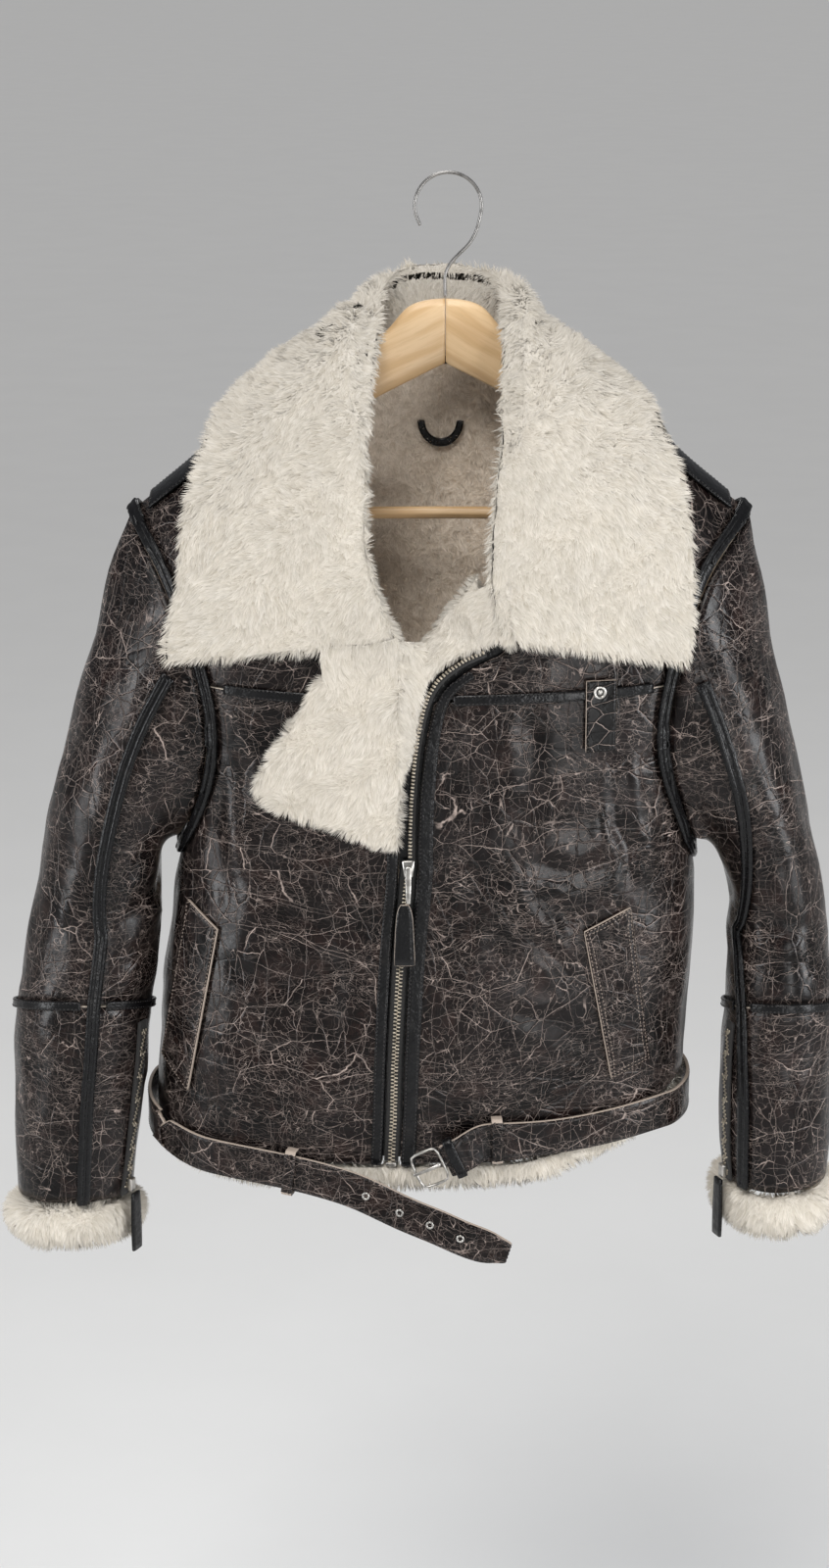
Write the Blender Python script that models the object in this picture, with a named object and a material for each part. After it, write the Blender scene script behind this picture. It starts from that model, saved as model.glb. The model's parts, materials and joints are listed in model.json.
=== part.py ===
"""Shearling flying coat, hanging open at the neck on a wooden hanger.

The tables hold real sizes in millimetres. The origin is the inside top of the hanger's hook,
+Z is up and the coat's front faces -Y. "Left" and "right" are those of someone facing the coat.
Each sewn piece is a shell: a grid of points on the piece's outer face and one on its inner face.
"""

import math

import bpy
import numpy as np

MM = 0.001
GAP = 0.3  # air between pieces that touch
LIFT = 0.9  # air under a strip that lies on a faceted panel
LEFT, RIGHT = -1, 1
FRONT, BACK = -1, 1

WALL = 12.0  # body: leather, skin and fur pile together
SLEEVE_WALL = 10.0
COLLAR_WALL = 15.0
LAPEL_WALL = 14.0
BINDING = 2.2  # thickness of a seam binding
BELT_WIDTH = 30.0
BELT_THICK = 3.0

HEM = -775.0
HEM_RISE = ((72.0, 1, 0.42), (-214.0, -1, 0.45))  # past this x, towards this side, the hem climbs this steeply
ARMPIT = -536.0
RIDGE_X = -6.0  # the shoulders' middle
FORWARD_SWEEP = 0.05  # the shoulders and sides come forward by this share of their distance out
SIDE_POWER = 2.6  # how square the body's section is
FRONT_ROUND, BACK_ROUND = 150.0, 120.0  # height over which the shoulder rounds into the chest and back

# Body: height, left side x, right side x, depth of the front, depth of the back.
TORSO = (
    (-775, -241, 195, 120, 84),
    (-750, -240, 195, 119, 83),
    (-715, -239, 197, 120, 84),
    (-661, -234, 200, 121, 85),
    (-618, -229, 203, 119, 84),
    (-581, -224, 204, 118, 83),
    (-533, -218, 202, 118, 82),
    (-478, -212, 200, 119, 80),
    (-430, -216, 205, 120, 78),
    (-380, -226, 214, 119, 75),
    (-320, -243, 231, 114, 70),
    (-263, -257, 245, 105, 64),
    (-200, -262, 250, 93, 58),
    (-110, -262, 250, 75, 52),
)

# Shoulder ridge: distance from the middle, height of the outer face.
RIDGE = (
    (0, -104),
    (66, -113),
    (85, -124),
    (110, -142),
    (135, -163),
    (160, -187),
    (190, -217),
    (217, -239),
    (243, -260),
    (270, -281),
)

# Armholes: height, x on the left, x on the right.
ARMHOLE = (
    (-536, -217.5, 201.5),
    (-512, -207, 191),
    (-489, -198, 185),
    (-461, -190, 176),
    (-441, -187, 171),
    (-422, -186, 170),
    (-403, -188, 171),
    (-382, -192, 175),
    (-340, -205, 185),
    (-310, -218, 195),
    (-298, -224, 201),
    (-283, -234, 214),
    (-271, -243, 226),
    (-261, -249, 237),
)
ARMHOLE_BACK_OUT = 8.0  # the back armhole is cut this much less deep

# Front zip, from the hem up: x and height of the teeth. Its upper part opens outward to the chest.
ZIP = (
    (-45, -774),
    (-43, -735),
    (-42, -692),
    (-40, -649),
    (-38, -609),
    (-35, -570),
    (-31, -529),
    (-31, -493),
    (-30, -467),
    (-28, -440),
    (-25, -416),
    (-21, -396),
    (-17, -383),
    (-10, -371),
    (0, -362),
    (12, -354),
    (26, -348),
    (41, -343),
)
ZIP_HALF = 7.0  # half the slot between the two fronts
SLIDER_Z = -523.0
YOKE_Z = -388.0  # yoke seam at the zip
YOKE_RISE = 0.035  # and its slope up to the armhole

# Neck edges of the yokes: x and height, from the zip up to the shoulder.
NECK_RIGHT = (
    (-9, -388), (1, -372), (14, -362), (30, -355), (50, -349), (62, -330),
    (63, -290), (62, -240), (60, -190), (60, -150), (62, -112.5),
)
NECK_LEFT = (
    (-40, -388), (-40, -370), (-40, -350), (-52, -325), (-68, -305), (-78, -280),
    (-80, -250), (-78, -215), (-76, -180), (-75, -145), (-74, -112.5),
)
LAPEL_SETBACK = 5.0  # the left front's edge stands back this far where the lapel folds over it
BACK_NECK_DROP = 36.0
NECK_HALF = 68.0

# Sleeves: height, middle x, middle y, half width, half depth, rise of the front over the back.
SLEEVE_LEFT = (
    (-590, -284, -30, 54, 57, 8),
    (-618, -290, -33, 55, 57, 12),
    (-666, -297, -37, 56, 57, 18),
    (-705, -300, -39, 56, 56, 14),
    (-749, -304, -40, 54, 55, 10),
    (-794, -307, -41, 51, 53, 8),
    (-831, -310, -41, 48, 51, 8),
)
SLEEVE_RIGHT = (
    (-590, 270, -28, 40, 57, 4),
    (-618, 272, -30, 42, 57, 10),
    (-668, 274, -33, 45, 57, 16),
    (-705, 273, -35, 47, 56, 10),
    (-749, 273, -36, 47, 55, 5),
    (-785, 273, -37, 46, 53, 0),
    (-814, 274, -37, 44, 51, -2),
)
FAN_ROWS = 7
CUFF_ZIP_TURN = 0.425
AROUND = 20

# Sleeve strip: how far down the sleeve, and turn from its outer side to its front, in parts of the round.
STRIP_LEFT = ((0, 0.19), (0.3, 0.215), (0.6, 0.25), (1, 0.27), (2, 0.285), (3, 0.288), (5, 0.285), (7, 0.29))
STRIP_RIGHT = (
    (0, 0.19), (0.3, 0.25), (0.6, 0.33), (1, 0.395), (2, 0.405), (3, 0.385), (5, 0.358), (7, 0.362),
)

# Collar, from the right wing's lower edge round the back to the left's: roll line x, y, z, then the
# fall's edge: x and height, with +1 for a height on the back, -1 on the front and 0 on the ridge, then the
# neck seam the same way, and last the crest beyond the roll, where the collar stands high.
COLLAR = (
    ((42, -141, -338), (174, -360, -1), (50, -338, -1), None),
    ((30, -141, -312), (179, -336, -1), (56, -318, -1), None),
    ((25, -134, -282), (180, -300, -1), (61, -290, -1), None),
    ((29, -118, -240), (177, -264, -1), (60, -245, -1), None),
    ((33, -96, -200), (170, -232, -1), (58, -200, -1), None),
    ((35, -68, -160), (160, -207, -1), (58, -158, -1), (57, -80, -152)),
    ((37, -38, -124), (152, -190, -1), (58, -124, -1), (59, -46, -111)),
    ((38, -21, -111), (148, 0, 0), (60, -112.5, -1), (62, -21, -89)),
    ((38, -4, -98), (140, -170, 1), (60, -112.5, 1), (62, 3, -81)),
    ((37, 15, -89), (129, -177, 1), (57, -117, 1), (56, 26, -80)),
    ((34, 32, -82), (114, -188, 1), (50, -124, 1), (48, 44, -81)),
    ((18, 57, -77), (70, -218, 1), (26, -135, 1), (25, 69, -86)),
    ((-6, 66, -76), (-6, -224, 1), (-6, -139, 1), (-6, 78, -86)),
    ((-30, 57, -77), (-84, -218, 1), (-38, -135, 1), (-37, 69, -86)),
    ((-42, 32, -83), (-128, -188, 1), (-62, -124, 1), (-57, 44, -84)),
    ((-45, 15, -90), (-143, -177, 1), (-69, -117, 1), (-67, 26, -85)),
    ((-46, -4, -100), (-154, -170, 1), (-71, -112.5, 1), (-71, 3, -89)),
    ((-48, -21, -113), (-164, 0, 0), (-71, -112.5, -1), (-73, -21, -97)),
    ((-50, -38, -127), (-169, -190, -1), (-71, -124, -1), (-74, -46, -114)),
    ((-54, -68, -161), (-177, -209, -1), (-74, -160, -1), (-76, -80, -153)),
    ((-57, -96, -200), (-187, -234, -1), (-75, -200, -1), None),
    ((-58, -118, -240), (-195, -264, -1), (-77, -245, -1), None),
    ((-54, -134, -284), (-200, -302, -1), (-76, -280, -1), None),
    ((-44, -140, -312), (-200, -336, -1), (-66, -305, -1), None),
    ((-31, -141, -338), (-194, -358, -1), (-50, -330, -1), None),
)
COLLAR_AIR = 7.0  # under the fall, over the bindings
COLLAR_ROWS, COLLAR_COLUMNS = 45, 14
COLLAR_CRUSH = {LEFT: 3.0, RIGHT: 6.5}  # how much thinner the pile lies over the shoulder ridge

# Lapel corners and edges: x and height.
LAPEL_FOLD = ((-34, -352), (-36, -400), (-36, -455), (-39, -505))
LAPEL_OUTER = ((-99, -368), (-115, -397), (-133, -428), (-148, -455))
LAPEL_BOTTOM = ((-39, -505), (-66, -496), (-101, -483), (-136, -473), (-148, -455))
FACING_INNER = (
    (-30, -425), (-29, -395), (-26, -362), (-21, -343), (-10, -327), (3, -311), (14, -298), (22, -288),
)

# Pocket welts: the four corners, top inner, top outer, bottom inner, bottom outer.
POCKET_LEFT = ((-181, -582), (-205, -564), (-208, -723), (-230, -702))
POCKET_RIGHT = ((107, -577), (144, -560), (131, -705), (162, -693))

# Belt middle line: x, height, how far out from the body it hangs, lean of its lower edge inward.
BELT_FRONT_LEFT = (
    (-229, -766, 5, 0), (-203, -771, 5, 0), (-179, -773, 5, 0),
    (-130, -778, 5, 0), (-98, -782, 12, 0), (-69, -789, 19, 0),
)
BELT_TAIL = ((-35, -152, -802), (-7, -159, -811), (16, -164, -820), (49, -168, -830))
BELT_FRONT_RIGHT = (
    (28, -752, 6, 0), (42, -751, 5, 1), (83, -750, 5, 2), (131, -745, 5, 2), (169, -742, 5, 1),
)
BUCKLE_BAR = (-3.0, -134.0, -766.0)
BUCKLE_TURN = 24.0  # the belt's buckle end drops by this angle

LEATHER = ("brown_leather", (0.036, 0.026, 0.023), 0.38, 0.0)
BLACK = ("black_leather", (0.010, 0.010, 0.011), 0.42, 0.0)
FUR = ("cream_fur", (0.80, 0.75, 0.66), 0.9, 0.0)
METAL = ("nickel", (0.42, 0.41, 0.39), 0.3, 1.0)
TAPE = ("zip_tape", (0.012, 0.011, 0.011), 0.8, 0.0)
WOOD = ("beech_wood", (0.72, 0.50, 0.28), 0.45, 0.0)


def clear_scene():
    for obj in list(bpy.data.objects):
        bpy.data.objects.remove(obj)


def material(spec):
    name, colour, roughness, metallic = spec
    found = bpy.data.materials.get(name)
    if found:
        return found
    made = bpy.data.materials.new(name)
    made.use_nodes = True
    shader = made.node_tree.nodes["Principled BSDF"]
    shader.inputs["Base Color"].default_value = (*colour, 1)
    shader.inputs["Roughness"].default_value = roughness
    shader.inputs["Metallic"].default_value = metallic
    return made


def unit(vector):
    vector = np.asarray(vector, float)
    return vector / np.linalg.norm(vector)


def curve(rows):
    """A smooth curve through table rows whose first column is the key: key -> the other columns."""
    rows = sorted(rows)
    keys = np.array([row[0] for row in rows], float)
    values = np.array([row[1:] for row in rows], float)
    slopes = np.gradient(values, keys, axis=0)

    def at(key):
        key = min(max(key, keys[0]), keys[-1])
        i = min(max(int(np.searchsorted(keys, key)) - 1, 0), len(keys) - 2)
        span = keys[i + 1] - keys[i]
        s = (key - keys[i]) / span
        start, end = 2 * s**3 - 3 * s**2 + 1, 3 * s**2 - 2 * s**3
        return (
            start * values[i]
            + end * values[i + 1]
            + (s**3 - 2 * s**2 + s) * span * slopes[i]
            + (s**3 - s**2) * span * slopes[i + 1]
        )

    return at


def along(points):
    """A smooth curve through points, by share of its length from 0 to 1."""
    points = np.array(points, float)
    steps = np.linalg.norm(np.diff(points, axis=0), axis=1)
    keys = np.concatenate([[0], np.cumsum(steps)]) / steps.sum()
    return curve([(key, *point) for key, point in zip(keys, points)])


torso = curve(TORSO)
ridge_curve = curve(RIDGE)
armhole_curve = curve(ARMHOLE)
zip_path = along(ZIP)


def ridge(x):
    return float(ridge_curve(abs(x - RIDGE_X))[0])


def body_middle(x):
    return -FORWARD_SWEEP * abs(x - RIDGE_X)


def on_body(x, z, side, inset=0.0, out=0.0):
    """The point of the body's outer face at x and height z, or of its inner face, inset by the wall.

    The same x and z name matching points of both faces. out moves the point away from the body.
    """
    left, right, front, back = torso(z)
    middle, half = (left + right) / 2, (right - left) / 2
    x_in = middle + (x - middle) * (half - inset) / half
    z_in = HEM + (z - HEM) * (ridge(x_in) - inset - HEM) / (ridge(x) - HEM)
    across = min(abs(x - middle) / half, 1.0)
    width = (1 - across**SIDE_POWER) ** (1 / SIDE_POWER)
    height = FRONT_ROUND if side == FRONT else BACK_ROUND
    drop = min(max((ridge(x_in) - inset - z_in) / height, 0.0), 1.0)
    depth = ((front if side == FRONT else back) - inset) * width * math.sqrt(1 - (1 - drop) ** 2)
    return np.array([x_in, body_middle(x_in) + side * (depth + GAP * 0.7 + out), z_in])


def body_normal(x, z, side):
    left, right = torso(z)[:2]
    spare = (right - left) / 2 - abs(x - (left + right) / 2)
    step = min(2.0, max(spare / 2, 0.02))
    here = on_body(x, z, side)
    across = on_body(x + step, z, side) - on_body(x - step, z, side)
    down = on_body(x, z - step, side) - on_body(x, min(z + step, ridge(x) - 0.1), side)
    normal = unit(np.cross(across, down))
    centre = np.array([RIDGE_X, 0, here[2] - 30])
    return normal if np.dot(normal, here - centre) > 0 else -normal


def laid(x, z, side, out):
    """A point that lies this far out from the body's outer face, along the face's normal."""
    return on_body(x, z, side) + body_normal(x, z, side) * out


def clearance(point):
    """Distance from the body's outer face, and the way out, for a point over the shoulders, chest or back."""

    def level(x, y, z):
        left, right, front, back = torso(z)
        across = min(abs(x - (left + right) / 2) / ((right - left) / 2), 0.96)
        over = y - body_middle(x)
        depth = (front if over < 0 else back) * (1 - across**SIDE_POWER) ** (1 / SIDE_POWER)
        height = FRONT_ROUND if over < 0 else BACK_ROUND
        return math.hypot(over / depth, max(0.0, 1 - (ridge(x) - z) / height)) - 1

    here = level(*point)
    step = 0.5
    rises = [level(*(point + step * axis)) - level(*(point - step * axis)) for axis in np.eye(3)]
    slope = np.array(rises) / (2 * step)
    size = max(np.linalg.norm(slope), 1e-6)
    return here / size, slope / size


def pushed_out(point, least):
    """The point, moved out until it lies this far from the body."""
    for _ in range(5):
        distance, away = clearance(point)
        if distance >= least:
            break
        point = point + away * min(least - distance, 6.0)
    return point


def volume(points, faces):
    total = 0.0
    for face in faces:
        first = points[face[0]]
        for a, b in zip(face[1:], face[2:]):
            total += np.dot(first, np.cross(points[a], points[b]))
    return total


def add_mesh(name, points, faces, spec):
    points = np.array(points, float)
    if volume(points, faces) < 0:
        faces = [tuple(reversed(face)) for face in faces]
    mesh = bpy.data.meshes.new(name)
    mesh.from_pydata((points * MM).tolist(), [], faces)
    mesh.update()
    mesh.shade_smooth()
    mesh.set_sharp_from_angle(angle=math.radians(40))
    obj = bpy.data.objects.new(name, mesh)
    bpy.context.scene.collection.objects.link(obj)
    obj.data.materials.append(material(spec))
    return obj


def shell(name, outer, inner, spec, puff=0.0, ring=False, flat_start=False):
    """A closed solid between two matching grids of points.

    puff rounds its rim, except along the first column where flat_start is set. ring joins the grid's ends.
    """
    outer, inner = np.array(outer, float), np.array(inner, float)
    rows, columns = outer.shape[:2]
    points = np.concatenate([outer.reshape(-1, 3), inner.reshape(-1, 3)]).tolist()
    faces = []
    last_row = rows if ring else rows - 1

    def at(i, j, face=0):
        return face * rows * columns + (i % rows) * columns + j

    for i in range(last_row):
        for j in range(columns - 1):
            corners = (at(i, j), at(i + 1, j), at(i + 1, j + 1), at(i, j + 1))
            faces.append(corners)
            faces.append(tuple(rows * columns + c for c in reversed(corners)))
    if ring:
        rims = [[(i, 0) for i in range(rows)], [(i, columns - 1) for i in range(rows)][::-1]]
    else:
        rims = [
            [(i, 0) for i in range(rows)]
            + [(rows - 1, j) for j in range(1, columns)]
            + [(i, columns - 1) for i in range(rows - 2, -1, -1)]
            + [(0, j) for j in range(columns - 2, 0, -1)]
        ]
    for rim in rims:
        middles = []
        for i, j in rim:
            push = np.zeros(3)
            for grid in (outer, inner):
                if j in (0, columns - 1):
                    push += unit(grid[i, j] - grid[i, 1 if j == 0 else columns - 2])
                if not ring and i in (0, rows - 1):
                    push += unit(grid[i, j] - grid[1 if i == 0 else rows - 2, j])
            if puff:
                middles.append(len(points))
                swell = 0.0 if flat_start and j == 0 else puff
                points.append(((outer[i, j] + inner[i, j]) / 2 + unit(push) * swell).tolist())
        for k, (i, j) in enumerate(rim):
            n = (k + 1) % len(rim)
            a, b = at(i, j), at(*rim[n])
            c, d = at(*rim[n], 1), at(i, j, 1)
            if puff:
                faces.append((b, a, middles[k], middles[n]))
                faces.append((middles[n], middles[k], d, c))
            else:
                faces.append((b, a, d, c))
    return add_mesh(name, points, faces, spec)


def closer_at_ends(share):
    return 0.4 * share + 0.6 * (0.5 - 0.5 * math.cos(math.pi * share))


def closer_at_end(share):
    return 1 - (1 - share) ** 1.65


def patch(inner_edge, outer_edge, rows, columns, place, spread, row_ease=1.0, top=None, bottom=None):
    """A grid between two edges, each a function of 0 to 1 that gives x and z.

    spread sets where the columns lie. top and bottom may bend the first and last rows.
    """
    grid = []
    for i in range(rows + 1):
        t = 1 - (1 - i / rows) ** row_ease
        start, end = inner_edge(t), outer_edge(t)
        row = []
        for j in range(columns + 1):
            u = spread(j / columns)
            x, z = start + (end - start) * u
            for curve_end, reach in ((top, t), (bottom, 1 - t)):
                if curve_end is not None and reach > 0.5:
                    at = 1 if curve_end is top else 0
                    first, last = inner_edge(at), outer_edge(at)
                    straight = first + (last - first) * u
                    bent = curve_end(u, straight)
                    share = (2 * reach - 1) ** 2
                    x += (bent[0] - straight[0]) * share
                    z += (bent[1] - straight[1]) * share
            row.append(place(x, z))
        grid.append(row)
    return grid


def sweep(name, stations, spec, ring=False):
    """A solid through a row of matching outlines, with flat ends unless the row is a ring."""
    stations = np.array(stations, float)
    count, size = stations.shape[:2]
    faces = []
    for i in range(count if ring else count - 1):
        n = (i + 1) % count
        for j in range(size):
            k = (j + 1) % size
            faces.append((i * size + j, i * size + k, n * size + k, n * size + j))
    if not ring:
        faces.append(tuple(range(size - 1, -1, -1)))
        faces.append(tuple(range((count - 1) * size, count * size)))
    return add_mesh(name, stations.reshape(-1, 3), faces, spec)


def band(name, path, spec, width, thick, lift, side=FRONT, columns=1, offset=0.0, taper=None):
    """A flat strip laid on the body along a path of x and z. offset shifts it to the path's right."""
    path = np.array(path, float)
    outer, inner = [], []
    for i, (x, z) in enumerate(path):
        ahead = unit(path[min(i + 1, len(path) - 1)] - path[max(i - 1, 0)])
        right = np.array([ahead[1], -ahead[0]])
        wide = width * (taper(i / (len(path) - 1)) if taper else 1.0)
        row = [path[i] + right * (offset + wide * (j / columns - 0.5)) for j in range(columns + 1)]
        outer.append([laid(px, pz, side, lift + thick) for px, pz in row])
        inner.append([laid(px, pz, side, lift) for px, pz in row])
    return shell(name, outer, inner, spec)


def yoke_seam(x):
    return YOKE_Z + YOKE_RISE * abs(x - zip_path(0.6)[0])


def armhole_x(z, which, side):
    left, right = armhole_curve(z)
    x = left if which == LEFT else right
    if side == BACK:
        share = (z - ARMPIT) / (ARMHOLE[-1][0] - ARMPIT)
        x += which * ARMHOLE_BACK_OUT * math.sin(math.pi * min(max(share, 0), 1))
    return x


def side_edge(which, side, low, high):
    """The outer edge of a body piece between two heights: side seam, then armhole."""

    def edge(t):
        z = low + (high - low) * t
        if z > ARMPIT:
            return np.array([armhole_x(z, which, side), z])
        left, right = torso(z)[:2]
        x = left if which == LEFT else right
        end = armhole_x(ARMPIT, which, side)
        near = max(0.0, 1 - (ARMPIT - z) / 60)
        edge_at_armpit = torso(ARMPIT)[0 if which == LEFT else 1]
        return np.array([x + (end - edge_at_armpit) * near, z])

    return edge


TIP = ARMHOLE[-1][0]


def hem_height(x):
    """Height of the leather's lower edge, which climbs towards both sides."""
    height = HEM
    for start, way, slope in HEM_RISE:
        past = (x - start) * way
        height += slope * (past + math.hypot(past, 20.0)) / 2
    return height


def hem_bottom(u, straight):
    return straight[0], hem_height(straight[0])


def body_shell(name, inner_edge, outer_edge, rows, columns, side, spread, top=None, row_ease=1.0):
    grids = []
    for inset in (0.0, WALL):

        def place(x, z, inset=inset):
            return on_body(x, z, side, inset)

        grids.append(patch(inner_edge, outer_edge, rows, columns, place, spread, row_ease, top, hem_bottom))
    return shell(name, grids[0], grids[1], LEATHER)


def make_fronts():
    for which, word in ((LEFT, "left"), (RIGHT, "right")):
        outer_seam = ARMHOLE[7][2 if which == RIGHT else 1]
        seam_out = yoke_seam(outer_seam)

        def zip_edge(t, which=which):
            z = HEM + (YOKE_Z - HEM) * t
            share = np.interp(z, [p[1] for p in ZIP[:14]], [p[0] for p in ZIP[:14]])
            fold = LAPEL_SETBACK * min(max((z + 500) / 50, 0), 1) if which == LEFT else 0.0
            return np.array([share + which * (ZIP_HALF + GAP + fold), z])

        def seam_top(u, straight):
            return straight[0], yoke_seam(straight[0]) - GAP

        body_shell("front_" + word, zip_edge, side_edge(which, FRONT, HEM, seam_out), 12, 9, FRONT,
                   closer_at_end, seam_top)

        neck = along(NECK_RIGHT if which == RIGHT else NECK_LEFT)

        def yoke_outer(t, which=which, seam_out=seam_out):
            z = seam_out + GAP + (TIP - seam_out - GAP) * t
            return np.array([armhole_x(z, which, FRONT), z])

        def yoke_inner(t, neck=neck):
            return neck(t) + np.array([0, 2 * GAP * (1 - t)])

        def ridge_top(u, straight):
            return straight[0], ridge(straight[0])

        def yoke_bottom(u, straight):
            return straight[0], yoke_seam(straight[0]) + GAP

        grids = []
        for inset in (0.0, WALL):
            grids.append(
                patch(
                    yoke_inner, yoke_outer, 13, 9,
                    lambda x, z: on_body(x, z, FRONT, inset), closer_at_end, 1.35, ridge_top, yoke_bottom,
                )
            )
        shell("yoke_" + word, grids[0], grids[1], LEATHER)


def back_neck(x):
    """Top of the back: the neck's hollow, then the shoulder ridge."""
    share = min(abs(x - RIDGE_X) / NECK_HALF, 1.0)
    return ridge(x) - BACK_NECK_DROP * (1 - share**2)


def make_backs():
    for which, word in ((LEFT, "left"), (RIGHT, "right")):

        def centre(t, which=which):
            return np.array([RIDGE_X + which * GAP * 0.6, HEM + (back_neck(RIDGE_X) - HEM) * t])

        def top(u, straight):
            return straight[0], back_neck(straight[0])

        body_shell("back_" + word, centre, side_edge(which, BACK, HEM, TIP), 17, 11, BACK,
                   closer_at_ends, top, 1.25)


def armhole_loop(which, count, with_normals=False):
    """Points round the armhole: shoulder, front, armpit, back; and the body's normals there."""
    loop, normals = [], []
    for side, backwards in ((FRONT, False), (BACK, True)):
        heights = np.linspace(TIP, ARMPIT, 80)[:: -1 if backwards else 1]
        fine = np.array([on_body(armhole_x(z, which, side), z, side) for z in heights])
        steps = np.concatenate([[0], np.cumsum(np.linalg.norm(np.diff(fine, axis=0), axis=1))])
        for share in np.linspace(0, 1, count // 2 + 1)[:-1]:
            loop.append([np.interp(share * steps[-1], steps, fine[:, k]) for k in range(3)])
            z = float(np.interp(share * steps[-1], steps, heights))
            if with_normals:
                if z > TIP - 0.5:
                    normals.append(unit([which * 0.62, 0, 0.78]))
                elif z < ARMPIT + 0.5:
                    normals.append(unit([which, 0, 0]))
                else:
                    normals.append(body_normal(armhole_x(z, which, side), z, side))
    return (np.array(loop), np.array(normals)) if with_normals else np.array(loop)


class Sleeve:
    """One sleeve's outer face, by row (0 to 1 down the fan, then the table's rows) and turn."""

    def __init__(self, which):
        self.which = which
        self.steep = 0.24 if which == LEFT else 0.38
        table = SLEEVE_LEFT if which == LEFT else SLEEVE_RIGHT
        self.rings = curve([(row, *values) for row, values in enumerate(table)])
        self.loop = armhole_loop(which, 80)

    def loop_point(self, turn, inset):
        place = (turn % 1.0) * len(self.loop)
        i = int(place) % len(self.loop)
        point = self.loop[i] + (self.loop[(i + 1) % len(self.loop)] - self.loop[i]) * (place - int(place))
        middle = self.loop.mean(axis=0)
        spoke = middle - point
        spoke[0] = 0
        clear = 6 * GAP + 3.4 * math.exp(-((point[2] - ARMPIT) / 40) ** 2)
        return point + unit(spoke) * inset + np.array([self.which * clear, 0, 0])

    def ring_point(self, row, turn, inset):
        z, x, y, half_width, half_depth, rise = self.rings(row)
        angle = 2 * math.pi * turn
        cos, sin = math.cos(angle), math.sin(angle)
        return np.array([
            x + self.which * (half_width - inset) * cos,
            y - (half_depth - inset) * sin,
            z + rise * sin,
        ])

    def point(self, row, turn, inset=0.0):
        """row 0 to 1 is the fan from the armhole; above 1, the table's rows counted from there."""
        if row >= 1:
            return self.ring_point(row - 1, turn, inset)
        start, end = self.loop_point(turn, inset), self.ring_point(0, turn, inset)
        reach = np.linalg.norm(end - start)
        outer = 0.5 + 0.5 * math.cos(2 * math.pi * turn)
        spread = 1.0 - 0.42 * outer - self.steep * outer**3
        away = unit([self.which * spread, -0.12 * math.sin(2 * math.pi * turn), -0.35 - 0.5 * outer])
        if math.cos(2 * math.pi * turn) < 0:
            away = unit(away + np.array([self.which * 0.6, 0, 0.35]) * -math.cos(2 * math.pi * turn))
        s = row
        leave, arrive = away * reach, np.array([self.which * 0.15 * outer**2, 0, -1]) * reach * 0.9
        return (
            (2 * s**3 - 3 * s**2 + 1) * start
            + (3 * s**2 - 2 * s**3) * end
            + (s**3 - 2 * s**2 + s) * leave
            + (s**3 - s**2) * arrive
        )

    def normal(self, row, turn):
        step = 0.01
        around = self.point(row, turn + step) - self.point(row, turn - step)
        down = self.point(row + step, turn) - self.point(max(row - step, 0), turn)
        normal = unit(np.cross(around, down))
        here = self.point(row, turn)
        middle = (self.point(row, turn + 0.5) + here) / 2
        return normal if np.dot(normal, here - middle) > 0 else -normal

    def laid(self, row, turn, out):
        return self.point(row, turn) + self.normal(row, turn) * out


def make_sleeve(which, word):
    sleeve = Sleeve(which)
    turns = [k / AROUND for k in range(AROUND)]
    upper = [i / FAN_ROWS for i in range(FAN_ROWS)] + [1.0, 2.0, 3.0]
    lower = [3.0, 4.0, 5.0, 6.0, 7.0]
    for part, rows in (("upper", upper), ("lower", lower)):
        grids = []
        for inset in (0.0, SLEEVE_WALL):
            grid = [[sleeve.point(row, turn, inset) for row in rows] for turn in turns]
            if part == "lower":
                for line in grid:
                    line[0] = line[0] + np.array([0, 0, -2 * GAP])
            grids.append(grid)
        shell(f"sleeve_{part}_{word}", grids[0], grids[1], LEATHER, ring=True)
    make_sleeve_trim(sleeve, which, word)


def sleeve_band(name, sleeve, path, spec, width, thick, lift):
    """A strip laid on a sleeve along rows and turns."""
    outer, inner = [], []
    points = [sleeve.point(row, turn) for row, turn in path]
    for i, (row, turn) in enumerate(path):
        normal = sleeve.normal(row, turn)
        ahead = points[min(i + 1, len(points) - 1)] - points[max(i - 1, 0)]
        across = unit(np.cross(ahead, normal))
        sag = width * width / 8 / 50
        for grid, out in ((outer, lift + thick), (inner, lift)):
            middle = points[i] + normal * (out + sag * 0.5)
            edge = normal * -sag * 0.5
            grid.append([middle - across * width / 2 + edge, middle, middle + across * width / 2 + edge])
    return shell(name, outer, inner, spec)


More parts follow.
